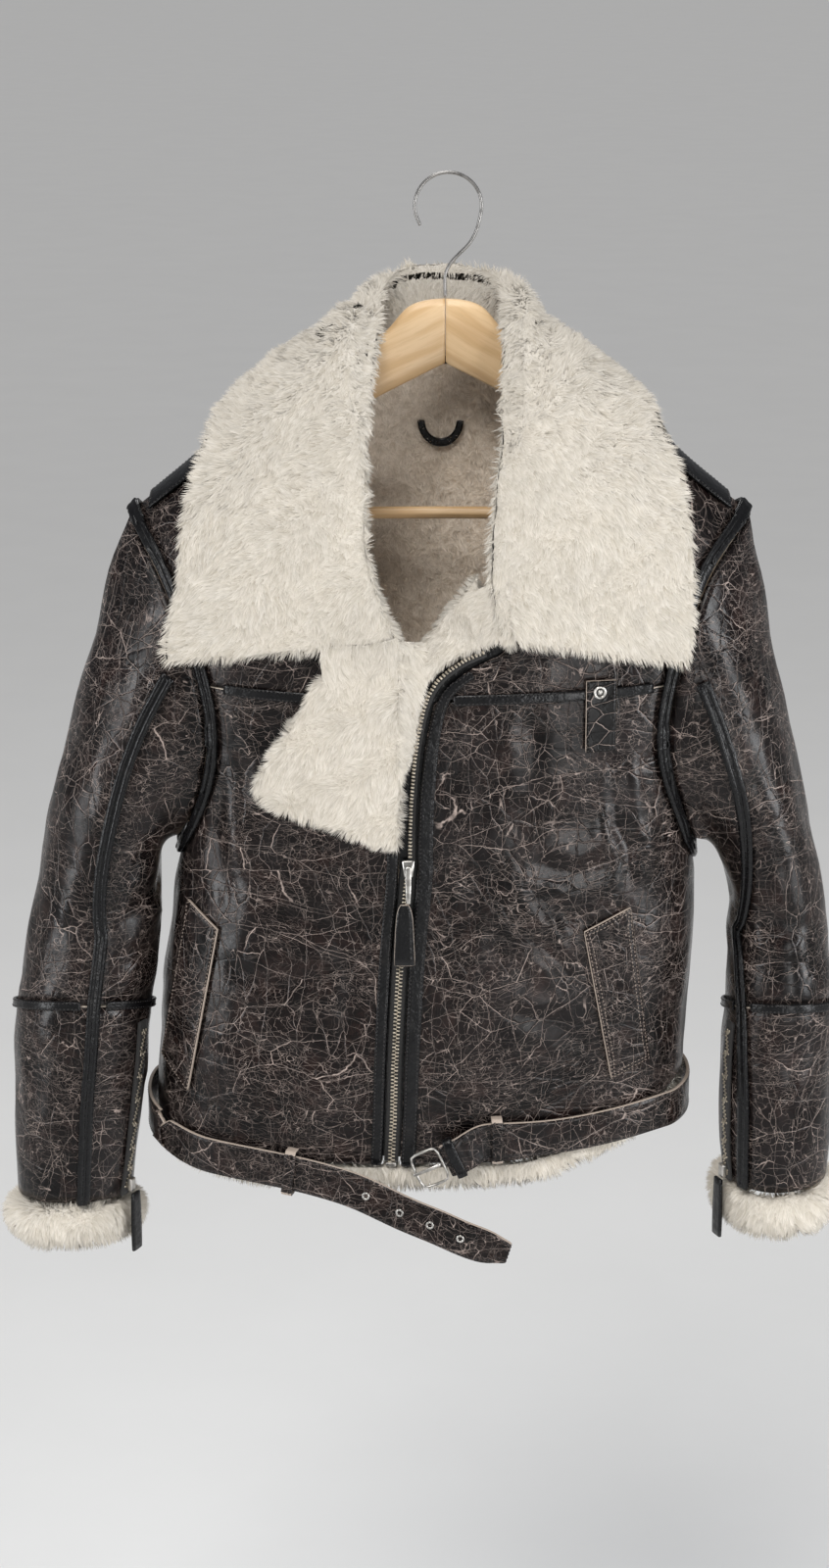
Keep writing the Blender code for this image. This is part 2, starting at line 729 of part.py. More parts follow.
def make_sleeve_trim(sleeve, which, word):
    strip = curve(STRIP_LEFT if which == LEFT else STRIP_RIGHT)
    fan = [0.1, 0.16, 0.23, 0.3, 0.4, 0.5, 0.6, 0.7, 0.8, 0.9, 1.0]
    rows = fan + [1.35, 1.7, 2, 2.5, 3, 3.5, 4, 4.5, 5, 5.5, 6, 6.5, 6.98]
    path = [(row, float(strip(row)[0])) for row in rows]
    sleeve_band("sleeve_strip_" + word, sleeve, path, BLACK, 11.0, BINDING, LIFT)
    elbow_turn = path[rows.index(3)][1]
    clear = 0.028 if which == LEFT else 0.03
    elbow = [(3.0, elbow_turn + clear + (1 - 2 * clear) * k / 30) for k in range(31)]
    sleeve_band("elbow_strip_" + word, sleeve, elbow, BLACK, 7.0, BINDING * 0.8, LIFT)
    zip_turn = CUFF_ZIP_TURN
    zip_path_rows = [(3.35 + 3.6 * k / 8, zip_turn) for k in range(9)]
    sleeve_band("cuff_zip_" + word, sleeve, zip_path_rows, TAPE, 11.5, 2.4, 0.1)
    normal = sleeve.normal(6.9, zip_turn)
    normal[2] = 0
    normal = unit(normal)
    across = unit(np.cross(normal, [0, 0, 1]))
    top = sleeve.laid(6.7, zip_turn, 2.4 + (2.1 if which == LEFT else 1.4))
    down = np.array([0, 0, -1.0])

    def block(name, start, size, spec, slant=1.0):
        wide, thick, tall = size
        stations = []
        for at, share in ((0.0, 1.0), (tall * 0.5, slant), (tall, slant * 0.9)):
            middle = start + down * at
            stations.append([
                middle - across * wide * share / 2,
                middle + across * wide * share / 2,
                middle + across * wide * share / 2 + normal * thick,
                middle - across * wide * share / 2 + normal * thick,
            ])
        sweep(name, stations, spec)

    block("cuff_slider_" + word, top + np.array([0, 0, 7.0]), (7.0, 4.0, 11.0), METAL)
    block("cuff_pull_" + word, top + down * 4.5 + normal * 4.4, (11.0, 2.6, 52.0), BLACK, 1.25)
    make_cuff_fur(sleeve, which, word)


def make_cuff_fur(sleeve, which, word):
    """The fur edge below the cuff, wider than the leather, open in the middle."""
    profile = (
        (-SLEEVE_WALL, -1.0), (0.0, -1.0), (9.0, -6.0), (14.0, -17.0),
        (12.0, -30.0), (2.0, -39.0), (-9.0, -34.0), (-13.0, -16.0),
    )
    stations = []
    for k in range(AROUND):
        turn = k / AROUND
        edge = sleeve.point(7.0, turn)
        middle = (edge + sleeve.point(7.0, turn + 0.5)) / 2
        away = edge - middle
        away[2] = 0
        away = unit(away)
        swell = 1 + 0.10 * math.sin(3 * 2 * math.pi * turn + which)
        swell *= 1 - 0.75 * math.exp(-((turn - CUFF_ZIP_TURN) / 0.06) ** 2)
        ring = []
        for out, drop in profile:
            ring.append(edge + away * out * (swell if out > 0 else 1) + np.array([0, 0, drop]))
        stations.append(ring)
    sweep("cuff_fur_" + word, stations, FUR, ring=True)


def make_armhole_bindings():
    """A double band round each armhole, on the body's side."""
    count = 32
    for which, word in ((LEFT, "left"), (RIGHT, "right")):
        loop, normals = armhole_loop(which, count, with_normals=True)
        middle = loop.mean(axis=0)
        profile = ((0.5, 1.5), (0.5, 3.8), (3.2, 4.4), (5.6, 3.6), (8.0, 4.2), (11.0, 3.7), (11.0, 1.5))
        stations = []
        for i in range(count):
            ahead = unit(loop[(i + 1) % count] - loop[i - 1])
            normal = unit(normals[i - 1] + 2 * normals[i] + normals[(i + 1) % count])
            normal = unit(normal - ahead * np.dot(normal, ahead))
            inward = unit(np.cross(ahead, normal))
            if np.dot(inward, loop[i] - middle) < 0:
                inward = -inward
            at_tip = math.exp(-((loop[i, 2] - TIP) / 16) ** 2)
            at_armpit = math.exp(-((loop[i, 2] - ARMPIT) / 22) ** 2)
            stations.append([
                loop[i] + inward * a + normal * (n * (1 - 0.4 * at_armpit) + 2.4 * at_tip + 1.8 * at_armpit)
                for a, n in profile
            ])
        sweep("armhole_binding_" + word, stations, BLACK, ring=True)


def make_shoulder_bands():
    """A smooth band along each shoulder seam, from under the collar to the armhole."""
    for which, word in ((LEFT, "left"), (RIGHT, "right")):
        outer, inner = [], []
        tip = abs(armhole_x(TIP, which, FRONT) - RIDGE_X)
        for k in range(9):
            x = RIDGE_X + which * (138 + (tip - 16 - 138) * k / 8)
            rows = []
            for out in (LIFT + BINDING, LIFT):
                row = []
                for side, drop in ((FRONT, 9.0), (FRONT, 3.0), (BACK, 0.2), (BACK, 2.0)):
                    row.append(laid(x, ridge(x) - drop, side, out))
                rows.append(row)
            outer.append(rows[0])
            inner.append(rows[1])
        shell("shoulder_band_" + word, outer, inner, BLACK)


def crushed(x, y):
    """How much the pile over the shoulder ridge is pressed down here."""
    return COLLAR_CRUSH[RIGHT if x > 0 else LEFT] * math.exp(-((y - body_middle(x)) / 40) ** 2)


def collar_seam(neck):
    """The collar's neck seam: its leather side and its fur side."""
    x, z, place = neck
    side = BACK if place > 0 else FRONT
    if side == BACK:
        z = min(z, back_neck(x))
    aside = (x - RIDGE_X) / NECK_HALF
    if side == BACK:
        lift = np.array([-3.4 * aside, -2.6 * (1 - aside**2), 3.2])
    else:
        near_top = math.exp(-((ridge(x) - z) / 18) ** 2)
        lift = np.array([-(2.6 + near_top) * math.copysign(1, aside), 0, 0.4 + 2.6 * near_top])
    return on_body(x, z, side) + lift, on_body(x, z, side, WALL) + lift


def collar_fall(roll, edge, share):
    """The fall this far from the roll to its edge: its leather side and its fur side."""
    side = BACK if edge[2] > 0 else FRONT
    x = roll[0] + (edge[0] - roll[0]) * share
    z = ridge(x) - 0.5
    if edge[2] != 0:
        start = min(roll[2], ridge(x) - 1.0)
        z = min(z, start + (edge[1] - start) * share)
    if abs(x - RIDGE_X) < NECK_HALF and side == BACK:
        z = min(z, back_neck(x) - 3)
    air = COLLAR_AIR + (2.5 * share**2 if side == FRONT else 0.0)
    skin = laid(x, z, side, air)
    return skin, laid(x, z, side, air + COLLAR_WALL - crushed(x, skin[1]))


def collar_sections():
    """Fur face and leather face of the collar at each station: neck seam, roll, crest, fall, edge."""
    fur, skin = [], []
    for roll, edge, neck, crest in COLLAR:
        roll = np.array(roll, float)
        seam_skin, seam_fur = collar_seam(neck)
        falls = [collar_fall(roll, edge, share) for share in (0.3, 0.65, 1.0)]
        inside = unit(falls[0][0] - roll) + unit(seam_skin - roll)
        roll_skin = roll + unit(inside) * COLLAR_WALL
        if crest is None:
            crest = (roll + falls[0][1]) / 2 + np.array([0, -3.0, 0])
        fold = (roll_skin + falls[0][0]) / 2
        crest_skin = crest + unit(fold - crest) * COLLAR_WALL
        fur.append([seam_fur, roll, np.array(crest, float)] + [fall[1] for fall in falls])
        skin.append([seam_skin, roll_skin, crest_skin] + [fall[0] for fall in falls])
    return np.array(fur), np.array(skin)


def resample(grid, rows, columns):
    """A finer grid, smooth both ways, through a coarse one."""
    first = [curve([(i, *point) for i, point in enumerate(grid[:, j])]) for j in range(grid.shape[1])]
    lines = [[line(t) for line in first] for t in np.linspace(0, len(grid) - 1, rows)]
    result = []
    for line in lines:
        across = curve([(j, *point) for j, point in enumerate(line)])
        result.append([across(t) for t in np.linspace(0, grid.shape[1] - 1, columns)])
    return np.array(result)


def make_collar():
    fur, skin = collar_sections()
    faces = []
    for grid, furry in ((fur, True), (skin, False)):
        fine = resample(grid, COLLAR_ROWS, COLLAR_COLUMNS)
        for line in fine:
            for j in range(2, COLLAR_COLUMNS):
                line[j] = clear_of_shoulders(line[j], furry)
        faces.append(fine)
    shell("collar", faces[0], faces[1], FUR, puff=4.5, flat_start=True)


def clear_of_shoulders(point, furry):
    """A point of the collar's fall, moved out where it comes too near the body."""
    x, y = point[:2]
    over_body = min(max((abs(x - RIDGE_X) - 48) / 12, 0), 1)
    near_ridge = math.exp(-((y - body_middle(x)) / 28) ** 2)
    if furry:
        least = COLLAR_AIR + COLLAR_WALL * 0.9 - crushed(x, y)
    else:
        least = COLLAR_AIR * 0.85 + 3.5 * near_ridge
    return pushed_out(point, least * over_body - 30 * (1 - over_body))


def coons(inner_edge, outer_edge, bottom_edge, top_edge, rows, columns, place):
    """A grid between four edges of x and z."""
    grid = []
    for i in range(rows + 1):
        t = i / rows
        line = []
        for j in range(columns + 1):
            u = j / columns
            corner = (
                (1 - u) * (1 - t) * top_edge(0) + u * (1 - t) * top_edge(1)
                + (1 - u) * t * bottom_edge(0) + u * t * bottom_edge(1)
            )
            between_sides = (1 - u) * inner_edge(t) + u * outer_edge(t)
            between_ends = (1 - t) * top_edge(u) + t * bottom_edge(u)
            spot = between_sides + between_ends - corner
            line.append(place(spot[0], spot[1], u, t))
        grid.append(line)
    return grid


def make_lapel():
    top = along((LAPEL_FOLD[0], LAPEL_OUTER[0]))
    edges = (along(LAPEL_FOLD), along(LAPEL_OUTER), along(LAPEL_BOTTOM), top)
    air = BINDING + LIFT + 0.5
    grids = [
        coons(*edges, 9, 7, lambda x, z, u, t: laid(x, z, FRONT, out))
        for out in (air + LAPEL_WALL, air)
    ]
    shell("lapel", grids[0], grids[1], FUR, puff=4.5)


def make_facing():
    """The fur edge of the right front, from a point beside the zip up to under the collar's wing."""
    inner = along(FACING_INNER)
    low, high = zip_share(FACING_INNER[0][1]), 0.985
    outer, under = [], []
    for k in range(15):
        t = k / 14
        zip_side = zip_path(low + (high - low) * t)
        ahead = unit(zip_path(low + (high - low) * t + 0.01) - zip_path(low + (high - low) * t - 0.01))
        zip_side = zip_side + np.array([-ahead[1], ahead[0]]) * 3.4
        neck_side = inner(t)
        share = min(1.0, 0.15 + 2.2 * t)
        if np.linalg.norm(neck_side - zip_side) < 3:
            neck_side = zip_side + np.array([-3.0, 0])
        row, low_row = [], []
        for j in range(4):
            x, z = zip_side + (neck_side - zip_side) * j / 3
            out = 2.0 + 5.0 * share * math.sin(math.pi * (0.25 + 0.5 * j / 3))
            row.append(on_body(x, z, FRONT, 0.0, out))
            low_row.append(on_body(x, z, FRONT, 0.0, out - 13.0))
        outer.append(row)
        under.append(low_row)
    shell("front_facing", outer, under, FUR, puff=2.2)


def zip_points(low, high, count):
    return [zip_path(low + (high - low) * k / (count - 1)) for k in range(count)]


def zip_share(z):
    """Share of the zip's length at a height on its straight part."""
    shares = np.linspace(0, 1, 200)
    heights = [zip_path(s)[1] for s in shares]
    return float(np.interp(z, heights, shares))


def flush_band(name, path, spec, start, end, rise, depth):
    """A strip between two offsets from a path, let in flush between the two fronts."""
    path = np.array(path, float)
    outer, inner = [], []
    for i in range(len(path)):
        ahead = unit(path[min(i + 1, len(path) - 1)] - path[max(i - 1, 0)])
        right = np.array([ahead[1], -ahead[0]])
        row = [path[i] + right * start, path[i] + right * end]
        outer.append([on_body(x, z, FRONT, 0.0, rise) for x, z in row])
        inner.append([on_body(x, z, FRONT, 0.0, rise - depth) for x, z in row])
    return shell(name, outer, inner, spec)


def make_front_zip():
    low = zip_share(HEM + 4)
    slider = zip_share(SLIDER_Z)
    flush_band("zip_tape_left", zip_points(low, slider, 12), TAPE, -5.8, -GAP, 0.4, 2.2)
    flush_band("zip_tape_right", zip_points(low, 0.97, 30), TAPE, GAP, 5.6, 0.4, 2.2)
    band("front_binding_right", zip_points(zip_share(HEM + 1), 0.93, 26), BLACK, 11.5, BINDING, LIFT,
         offset=13.6, columns=1, taper=lambda t: 1.0 if t < 0.72 else 1.0 - 0.45 * (t - 0.72) / 0.28)
    band("front_binding_left", zip_points(zip_share(HEM + 1), zip_share(-400), 16), BLACK, 8.5, BINDING, LIFT,
         offset=-12.2)
    middle = zip_path(slider)
    face = on_body(middle[0], middle[1], FRONT)[1] - 0.1
    x, z = float(middle[0]), float(middle[1])

    def plate(name, rows, spec):
        """A solid from rows of height, half width, back y and front y."""
        stations = [[(x - w, b, h), (x + w, b, h), (x + w, f, h), (x - w, f, h)] for h, w, b, f in rows]
        sweep(name, stations, spec)

    plate("zip_slider", (
        (z + 7, 5.0, face - 0.8, face - 3.0),
        (z + 3, 4.6, face - 0.8, face - 4.6),
        (z - 3, 3.6, face - 0.8, face - 5.2),
        (z - 7, 3.4, face - 0.8, face - 3.2),
    ), METAL)
    plate("zip_link", (
        (z + 3.0, 2.0, face - 5.8, face - 7.2),
        (z - 6.0, 2.4, face - 6.0, face - 7.6),
        (z - 27.0, 1.7, face - 8.0, face - 9.6),
    ), METAL)
    x -= 3.0
    plate("zip_tab", (
        (z - 27.4, 3.0, face - 7.4, face - 10.4),
        (z - 32.0, 6.2, face - 7.4, face - 10.6),
        (z - 50.0, 7.4, face - 7.6, face - 10.8),
        (z - 78.0, 8.4, face - 7.6, face - 10.8),
    ), BLACK)
    end = zip_path(zip_share(HEM + 2))
    x = float(end[0])
    face = on_body(x, HEM + 2, FRONT)[1]
    stop_rows = ((HEM + 3.2, 4.2, face + 1.6, face - 1.8), (HEM + 0.2, 4.2, face + 1.6, face - 1.8))
    plate("zip_stop", stop_rows, METAL)


def make_front_trim():
    right_path = [(x, yoke_seam(x)) for x in np.linspace(4, 158, 12)]
    left_path = [(x, yoke_seam(x)) for x in np.linspace(-173, -72, 9)]
    band("yoke_binding_right", right_path, BLACK, 8.0, BINDING, LIFT)
    band("yoke_binding_left", left_path, BLACK, 8.0, BINDING, LIFT)
    tab_lift = LIFT + BINDING + 1.0
    tab_path = [(116.5, z) for z in np.linspace(-428, -371, 7)]
    band("chest_tab", tab_path, LEATHER, 23.0, 2.6, tab_lift, columns=2)
    centre = laid(115.0, -380.0, FRONT, tab_lift + 2.6 + GAP + 0.3)
    normal = body_normal(115.0, -380.0, FRONT)
    ring_solid("chest_snap", centre, normal, 5.2, 1.8, METAL, 12)
    for word, corners in (("left", POCKET_LEFT), ("right", POCKET_RIGHT)):
        a, b, c, d = (np.array(corner, float) for corner in corners)
        edges = (along((a, c)), along((b, d)), along((c, d)), along((a, b)))
        grids = [
            coons(*edges, 8, 2, lambda x, z, u, t: laid(x, z, FRONT, out))
            for out in (LIFT + 2.8, LIFT)
        ]
        shell("pocket_" + word, grids[0], grids[1], LEATHER)


def ring_solid(name, centre, normal, radius, thick, spec, sides, hole=0.0):
    """A round stud or a ring, its flat face along the normal."""
    normal = unit(normal)
    first = unit(np.cross(normal, [0, 0, 1.0]))
    second = np.cross(normal, first)
    profile = [(radius, 0), (radius, thick * 0.6), (radius * 0.8, thick)]
    if hole:
        profile += [(hole, thick * 0.7), (hole, 0)]
        stations = []
        for k in range(sides):
            angle = 2 * math.pi * k / sides
            spoke = first * math.cos(angle) + second * math.sin(angle)
            stations.append([centre + spoke * r + normal * h for r, h in profile])
        return sweep(name, stations, spec, ring=True)
    stations = []
    for r, h in profile:
        ring = []
        for k in range(sides):
            angle = 2 * math.pi * k / sides
            ring.append(centre + normal * h + (first * math.cos(angle) + second * math.sin(angle)) * r)
        stations.append(ring)
    return sweep(name, stations, spec)


def belt_line():
    """The belt's middle points and the way out from the body at each, from the buckle round the back."""
    points, outs, leans = [], [], []
    turn = math.radians(BUCKLE_TURN)
    bar = np.array(BUCKLE_BAR)
    for back in (1.85, 18.0):
        spot = bar + np.array([math.cos(turn), 0, math.sin(turn)]) * back
        points.append(spot)
        outs.append(np.array([0.02, -1.0, 0.0]))
        leans.append(0.0)
    for x, z, air, lean in BELT_FRONT_RIGHT:
        points.append(laid(x, z, FRONT, air))
        outs.append(body_normal(x, z, FRONT))
        leans.append(lean)
    for k in range(1, 17):
        share = k / 17
        angle = math.radians(-38 + 256 * share)
        cos, sin = math.cos(angle), math.sin(angle)
        z = -742 - 22 * share
        left, right, front, back = torso(z)
        middle, half = (left + right) / 2, (right - left) / 2
        x = middle + half * math.copysign(abs(cos) ** (2 / SIDE_POWER), cos)
        depth = (back if sin > 0 else front) * abs(sin) ** (2 / SIDE_POWER)
        y = body_middle(x) + math.copysign(depth, sin)
        normal = unit([cos * 0.9 / half * 100, sin / (back if sin > 0 else front) * 100, 0])
        points.append(np.array([x, y, z]) + normal * 5.5)
        outs.append(normal)
        leans.append(0.0)
    for x, z, air, lean in BELT_FRONT_LEFT:
        points.append(laid(x, z, FRONT, air))
        outs.append(body_normal(x, z, FRONT))
        leans.append(lean)
    for x, y, z in BELT_TAIL:
        points.append(np.array([x, y, z], float))
        outs.append(np.array([-0.12, -1.0, 0.05]))
        leans.append(0.0)
    outs = [unit([o[0], o[1], 0.0]) for o in outs]
    return np.array(points), np.array(outs), leans


def belt_face(line, key):
    """The belt's run, outward normal and upward direction at a place along it."""
    ahead = unit(line(key + 0.05)[:3] - line(key - 0.05)[:3])
    up = unit(np.cross(ahead, unit(line(key)[3:6])))
    up = up if up[2] > 0 else -up
    out = unit(np.cross(ahead, up))
    return ahead, out if np.dot(out, line(key)[3:6]) > 0 else -out, up


def make_belt():
    points, outs, leans = belt_line()
    rows = [(i, *point, *out, lean) for i, (point, out, lean) in enumerate(zip(points, outs, leans))]
    line = curve(rows)
    outer, inner = [], []
    last = len(rows) - 1
    keys = np.concatenate([np.linspace(0, last - 1, 62), [last - 0.55, last - 0.25, last]])
    for key in keys:
        values = line(key)
        point, out, lean = values[:3], unit(values[3:6]), values[6]
        ahead = line(min(key + 0.05, last))[:3] - line(max(key - 0.05, 0))[:3]
        up = unit(np.cross(ahead, out))
        if up[2] < 0:
            up = -up
        half = BELT_WIDTH / 2
        point_end = max(0.0, key - (last - 0.55)) / 0.55
        top = half * (1 - 0.35 * point_end)
        low = -half * (1 - 0.45 * point_end)
        if key < 0.2:
            top, low = half - 1.0, -half + 1.0
        for grid, away in ((outer, BELT_THICK), (inner, 0.0)):
            grid.append([
                point + up * low + out * (away - lean * 0.8),
                point + out * away,
                point + up * top + out * away,
            ])
    shell("belt", outer, inner, LEATHER)
    for k, x in enumerate((-64.0, -37.0, -13.0, 11.0)):
        keys = np.linspace(last - 6, last, 400)
        xs = [line(key)[0] for key in keys]
        key = float(np.interp(x, xs, keys))
        values = line(key)
        out = belt_face(line, key)[1]
        centre = values[:3] + out * (BELT_THICK + 2 * GAP)
        ring_solid(f"eyelet_{k + 1}", centre, out, 3.6, 1.0, METAL, 10, hole=1.8)
    make_belt_holders(line, last)


def holder(name, middle, out, along_belt, up, width, spec, half_height, depth, base):
    """A loop of strap round the belt's outer face, its ends turned back towards the body."""
    thick = 2.0
    profile = (
        (base, half_height + 3.4), (depth, half_height + 3.4),
        (depth + thick, half_height + 1.4), (depth + thick, -half_height - 1.4),
        (depth, -half_height - 3.4), (base, -half_height - 3.4),
        (base, -half_height - 1.4), (depth, -half_height - 1.4),
        (depth, half_height + 1.4), (base, half_height + 1.4),
    )
    size = len(profile)
    outline = [middle + out * a + up * b for a, b in profile]
    points = [p - along_belt * width / 2 for p in outline] + [p + along_belt * width / 2 for p in outline]
    faces = []
    for j in range(size):
        k = (j + 1) % size
        faces.append((j, k, size + k, size + j))
    for piece in ((0, 1, 8, 9), (1, 2, 8), (2, 3, 7, 8), (3, 4, 7), (4, 5, 6, 7)):
        faces.append(tuple(reversed(piece)))
        faces.append(tuple(size + j for j in piece))
    add_mesh(name, points, faces, spec)


def make_belt_holders(line, last):
    def belt_at(x, low, high):
        keys = np.linspace(low, high, 300)
        xs = np.array([line(key)[0] for key in keys])
        order = np.argsort(xs)
        key = float(np.interp(x, xs[order], keys[order]))
        ahead, out, up = belt_face(line, key)
        return line(key)[:3], out, ahead, up

    loops = (("belt_loop_right", 40.0, 2, 5, -3.4), ("belt_loop_left", -126.0, last - 9, last - 4, -4.4))
    for name, x, low, high, base in loops:
        middle, out, ahead, up = belt_at(x, low, high)
        holder(name, middle, out, ahead, up, 9.0, LEATHER, BELT_WIDTH / 2 + 1.0, BELT_THICK + 0.7, base)
    turn = math.radians(BUCKLE_TURN)
    ahead = np.array([math.cos(turn), 0, math.sin(turn)])
    up = np.array([-math.sin(turn), 0, math.cos(turn)])
    out = np.array([0.0, -1.0, 0.0])
    middle = np.array(BUCKLE_BAR) + ahead * 10.0
    half = BELT_WIDTH / 2
    far, tall = BELT_THICK + 2.6, half + 2.6
    ring = ((-2.8, tall), (far, tall), (far, -tall), (-2.8, -tall))
    far, tall = BELT_THICK + 1.0, half + 1.0
    inner_ring = ((-1.0, tall), (far, tall), (far, -tall), (-1.0, -tall))
    stations = []
    for (a, b), (c, d) in zip(ring, inner_ring):
        stations.append([
            middle - ahead * 4 + out * a + up * b,
            middle + ahead * 4 + out * a + up * b,
            middle + ahead * 4 + out * c + up * d,
            middle - ahead * 4 + out * c + up * d,
        ])
    sweep("belt_keeper", stations, BLACK, ring=True)
    make_buckle(ahead, up, out)


def make_buckle(ahead, up, out):
    """A square frame whose bar the belt's end folds round, and a prong on the same bar."""
    bar = np.array(BUCKLE_BAR) + out * 1.5
    wire = 1.5
    half = BELT_WIDTH / 2 - 1.0
    corners = [
        (0.0, half), (-3.0, half + 1.2), (-21.0, half + 1.2), (-24.0, half - 1.5),
        (-24.0, -half + 1.5), (-21.0, -half - 1.2), (-3.0, -half - 1.2), (0.0, -half),
    ]
    stations = []
    for i, (a, b) in enumerate(corners):
        before, after = corners[i - 1], corners[(i + 1) % len(corners)]
        run = unit([after[0] - before[0], after[1] - before[1]])
        across = np.array([run[1], -run[0]])
        ring = []
        for k in range(6):
            angle = 2 * math.pi * k / 6
            spot = np.array([a, b]) + across * wire * math.cos(angle)
            ring.append(bar + ahead * spot[0] + up * spot[1] + out * wire * math.sin(angle))
        stations.append(ring)
    sweep("buckle_frame", stations, METAL, ring=True)
    outline = ((-2.05, 0.7, 0.4), (-4.4, 2.4, 0.6), (-14.0, 2.8, 0.7), (-24.6, 2.5, 0.6), (-26.2, 2.1, 0.5))
    rows = []
    for at, rise, half_thick in outline:
        middle = bar + ahead * at + out * rise
        slim = 1.4 if at > -20 else 1.0
        rows.append([
            middle - up * slim - out * half_thick, middle + up * slim - out * half_thick,
            middle + up * slim + out * half_thick, middle - up * slim + out * half_thick,
        ])
    sweep("buckle_prong", rows, METAL)


def make_hem_fur():
    """The fur that shows below the leather, round the whole hem."""
    count = 36
    profile = ((-WALL, -1.0), (-0.5, -1.0), (1.0, -8.0), (0.5, -17.0), (-5.0, -22.0), (-13.5, -14.0))
    stations = []
    left, right, front, back = torso(HEM)
    middle, half = (left + right) / 2, (right - left) / 2
    for k in range(count):
        angle = 2 * math.pi * k / count
        cos, sin = math.cos(angle), math.sin(angle)

        def spot(inset):
            x = middle + (half - inset) * math.copysign(abs(cos) ** (2 / SIDE_POWER), cos)
            depth = ((back if sin > 0 else front) - inset) * abs(sin) ** (2 / SIDE_POWER)
            return np.array([x, body_middle(x) + math.copysign(depth, sin), hem_height(x)])

        short = 0.75 + 0.25 * max(0.0, -sin)
        ring = []
        for out, drop in profile:
            ring.append(spot(-out) + np.array([0, 0, drop * (short if drop < -2 else 1)]))
        stations.append(ring)
    sweep("hem_fur", stations, FUR, ring=True)


def make_hang_loop():
    """A narrow strap in a U inside the back neck."""
    outer, inner = [], []
    for k in range(11):
        angle = math.pi * k / 10
        spoke = np.array([math.cos(angle), -math.sin(angle)])
        rows = [], []
        for radius in (19.5, 13.5):
            x, z = -5 + spoke[0] * radius, -188 + spoke[1] * radius * 1.15
            face = on_body(x, z, BACK, WALL)
            rows[0].append(face + np.array([0, -4.7, 0]))
            rows[1].append(face + np.array([0, -0.7, 0]))
        outer.append(rows[0])
        inner.append(rows[1])
    shell("hang_loop", outer, inner, BLACK)


def make_hanger():
    """Two arms mitred at the crown, a bar between their ends, and a wire hook."""
    top_rows = ((0, -95), (15, -96), (24, -98.5), (32, -103.5), (39, -112), (46, -119.5), (54, -126))
    low_rows = ((0, -146), (54, -173), (100, -197), (150, -224), (176, -238), (184, -243))
    low = curve(low_rows)
    crown = curve(top_rows)
    for which, word in ((LEFT, "left"), (RIGHT, "right")):
        stations = []
        reaches = [0, 8, 16, 24, 30, 35, 40, 46, 54, 64, 80, 100, 120, 140, 160, 176, 184, 184.5, 200, 212]
        for reach in reaches:
            x = which * (reach + (GAP * 0.6 if reach == 0 else 0)) - 2.0
            coat = ridge(x) - WALL - 1.2 - 0.012 * reach
            top = float(crown(reach)[0]) if reach < 52 else coat
            top -= 3.5 * math.exp(-((reach - 64) / 15) ** 2)
            bottom = min(float(low(reach)[0]), top - 12) if reach <= 184 else -271.0
            y = body_middle(x) - 1.0
            half = 6.2 - 1.6 * reach / 212
            soft = min(5.0, (top - bottom) / 3)
            stations.append([
                (x, y - half, bottom + 1.5), (x, y - half, top - soft), (x, y - half * 0.45, top - 0.6),
                (x, y, top),
                (x, y + half * 0.45, top - 0.6), (x, y + half, top - soft), (x, y + half, bottom + 1.5),
                (x, y, bottom),
            ])
        sweep("hanger_arm_" + word, stations, WOOD)
    ends = []
    reach = 184.0 - GAP
    for x in np.linspace(-reach, reach, 7):
        x = x - 2.0
        ring = []
        for k in range(8):
            angle = 2 * math.pi * k / 8
            ring.append((x, body_middle(x) - 1.0 + 5 * math.cos(angle), -264.5 + 5 * math.sin(angle)))
        ends.append(ring)
    sweep("hanger_bar", ends, WOOD)
    make_hook()


def make_hook():
    wire = 1.6
    route = [(-2.0, -94.6), (-2.4, -84), (-2.2, -77), (2, -68), (9, -60.5), (16.5, -53), (22, -43)]
    centre, radius = (0.0, -24.4), 26.0
    for degrees in range(-20, 226, 18):
        angle = math.radians(degrees)
        route.append((centre[0] + radius * math.cos(angle), centre[1] + radius * math.sin(angle)))
    line = along(route)
    stations = []
    count = 40
    for k in range(count):
        t = k / (count - 1)
        point = line(t)
        ahead = unit(line(min(t + 0.004, 1)) - line(max(t - 0.004, 0)))
        across = np.array([ahead[1], -ahead[0]])
        ring = []
        for s in range(6):
            angle = 2 * math.pi * s / 6
            spot = point + across * wire * math.cos(angle)
            ring.append((spot[0], wire * math.sin(angle), spot[1]))
        stations.append(ring)
    sweep("hanger_hook", stations, METAL)


def main():
    clear_scene()
    make_hanger()
    make_fronts()
    make_backs()
    make_armhole_bindings()
    make_shoulder_bands()
    make_sleeve(LEFT, "left")
    make_sleeve(RIGHT, "right")
    make_collar()
    make_lapel()
    make_facing()
    make_front_zip()
    make_front_trim()
    make_belt()
    make_hem_fur()
    make_hang_loop()


main()
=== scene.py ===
"""Looks of the shearling coat on its hanger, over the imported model. Lengths are in metres."""

import json
import math

import bmesh
import bpy
import numpy as np
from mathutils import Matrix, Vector
from mathutils.bvhtree import BVHTree
from mathutils.kdtree import KDTree

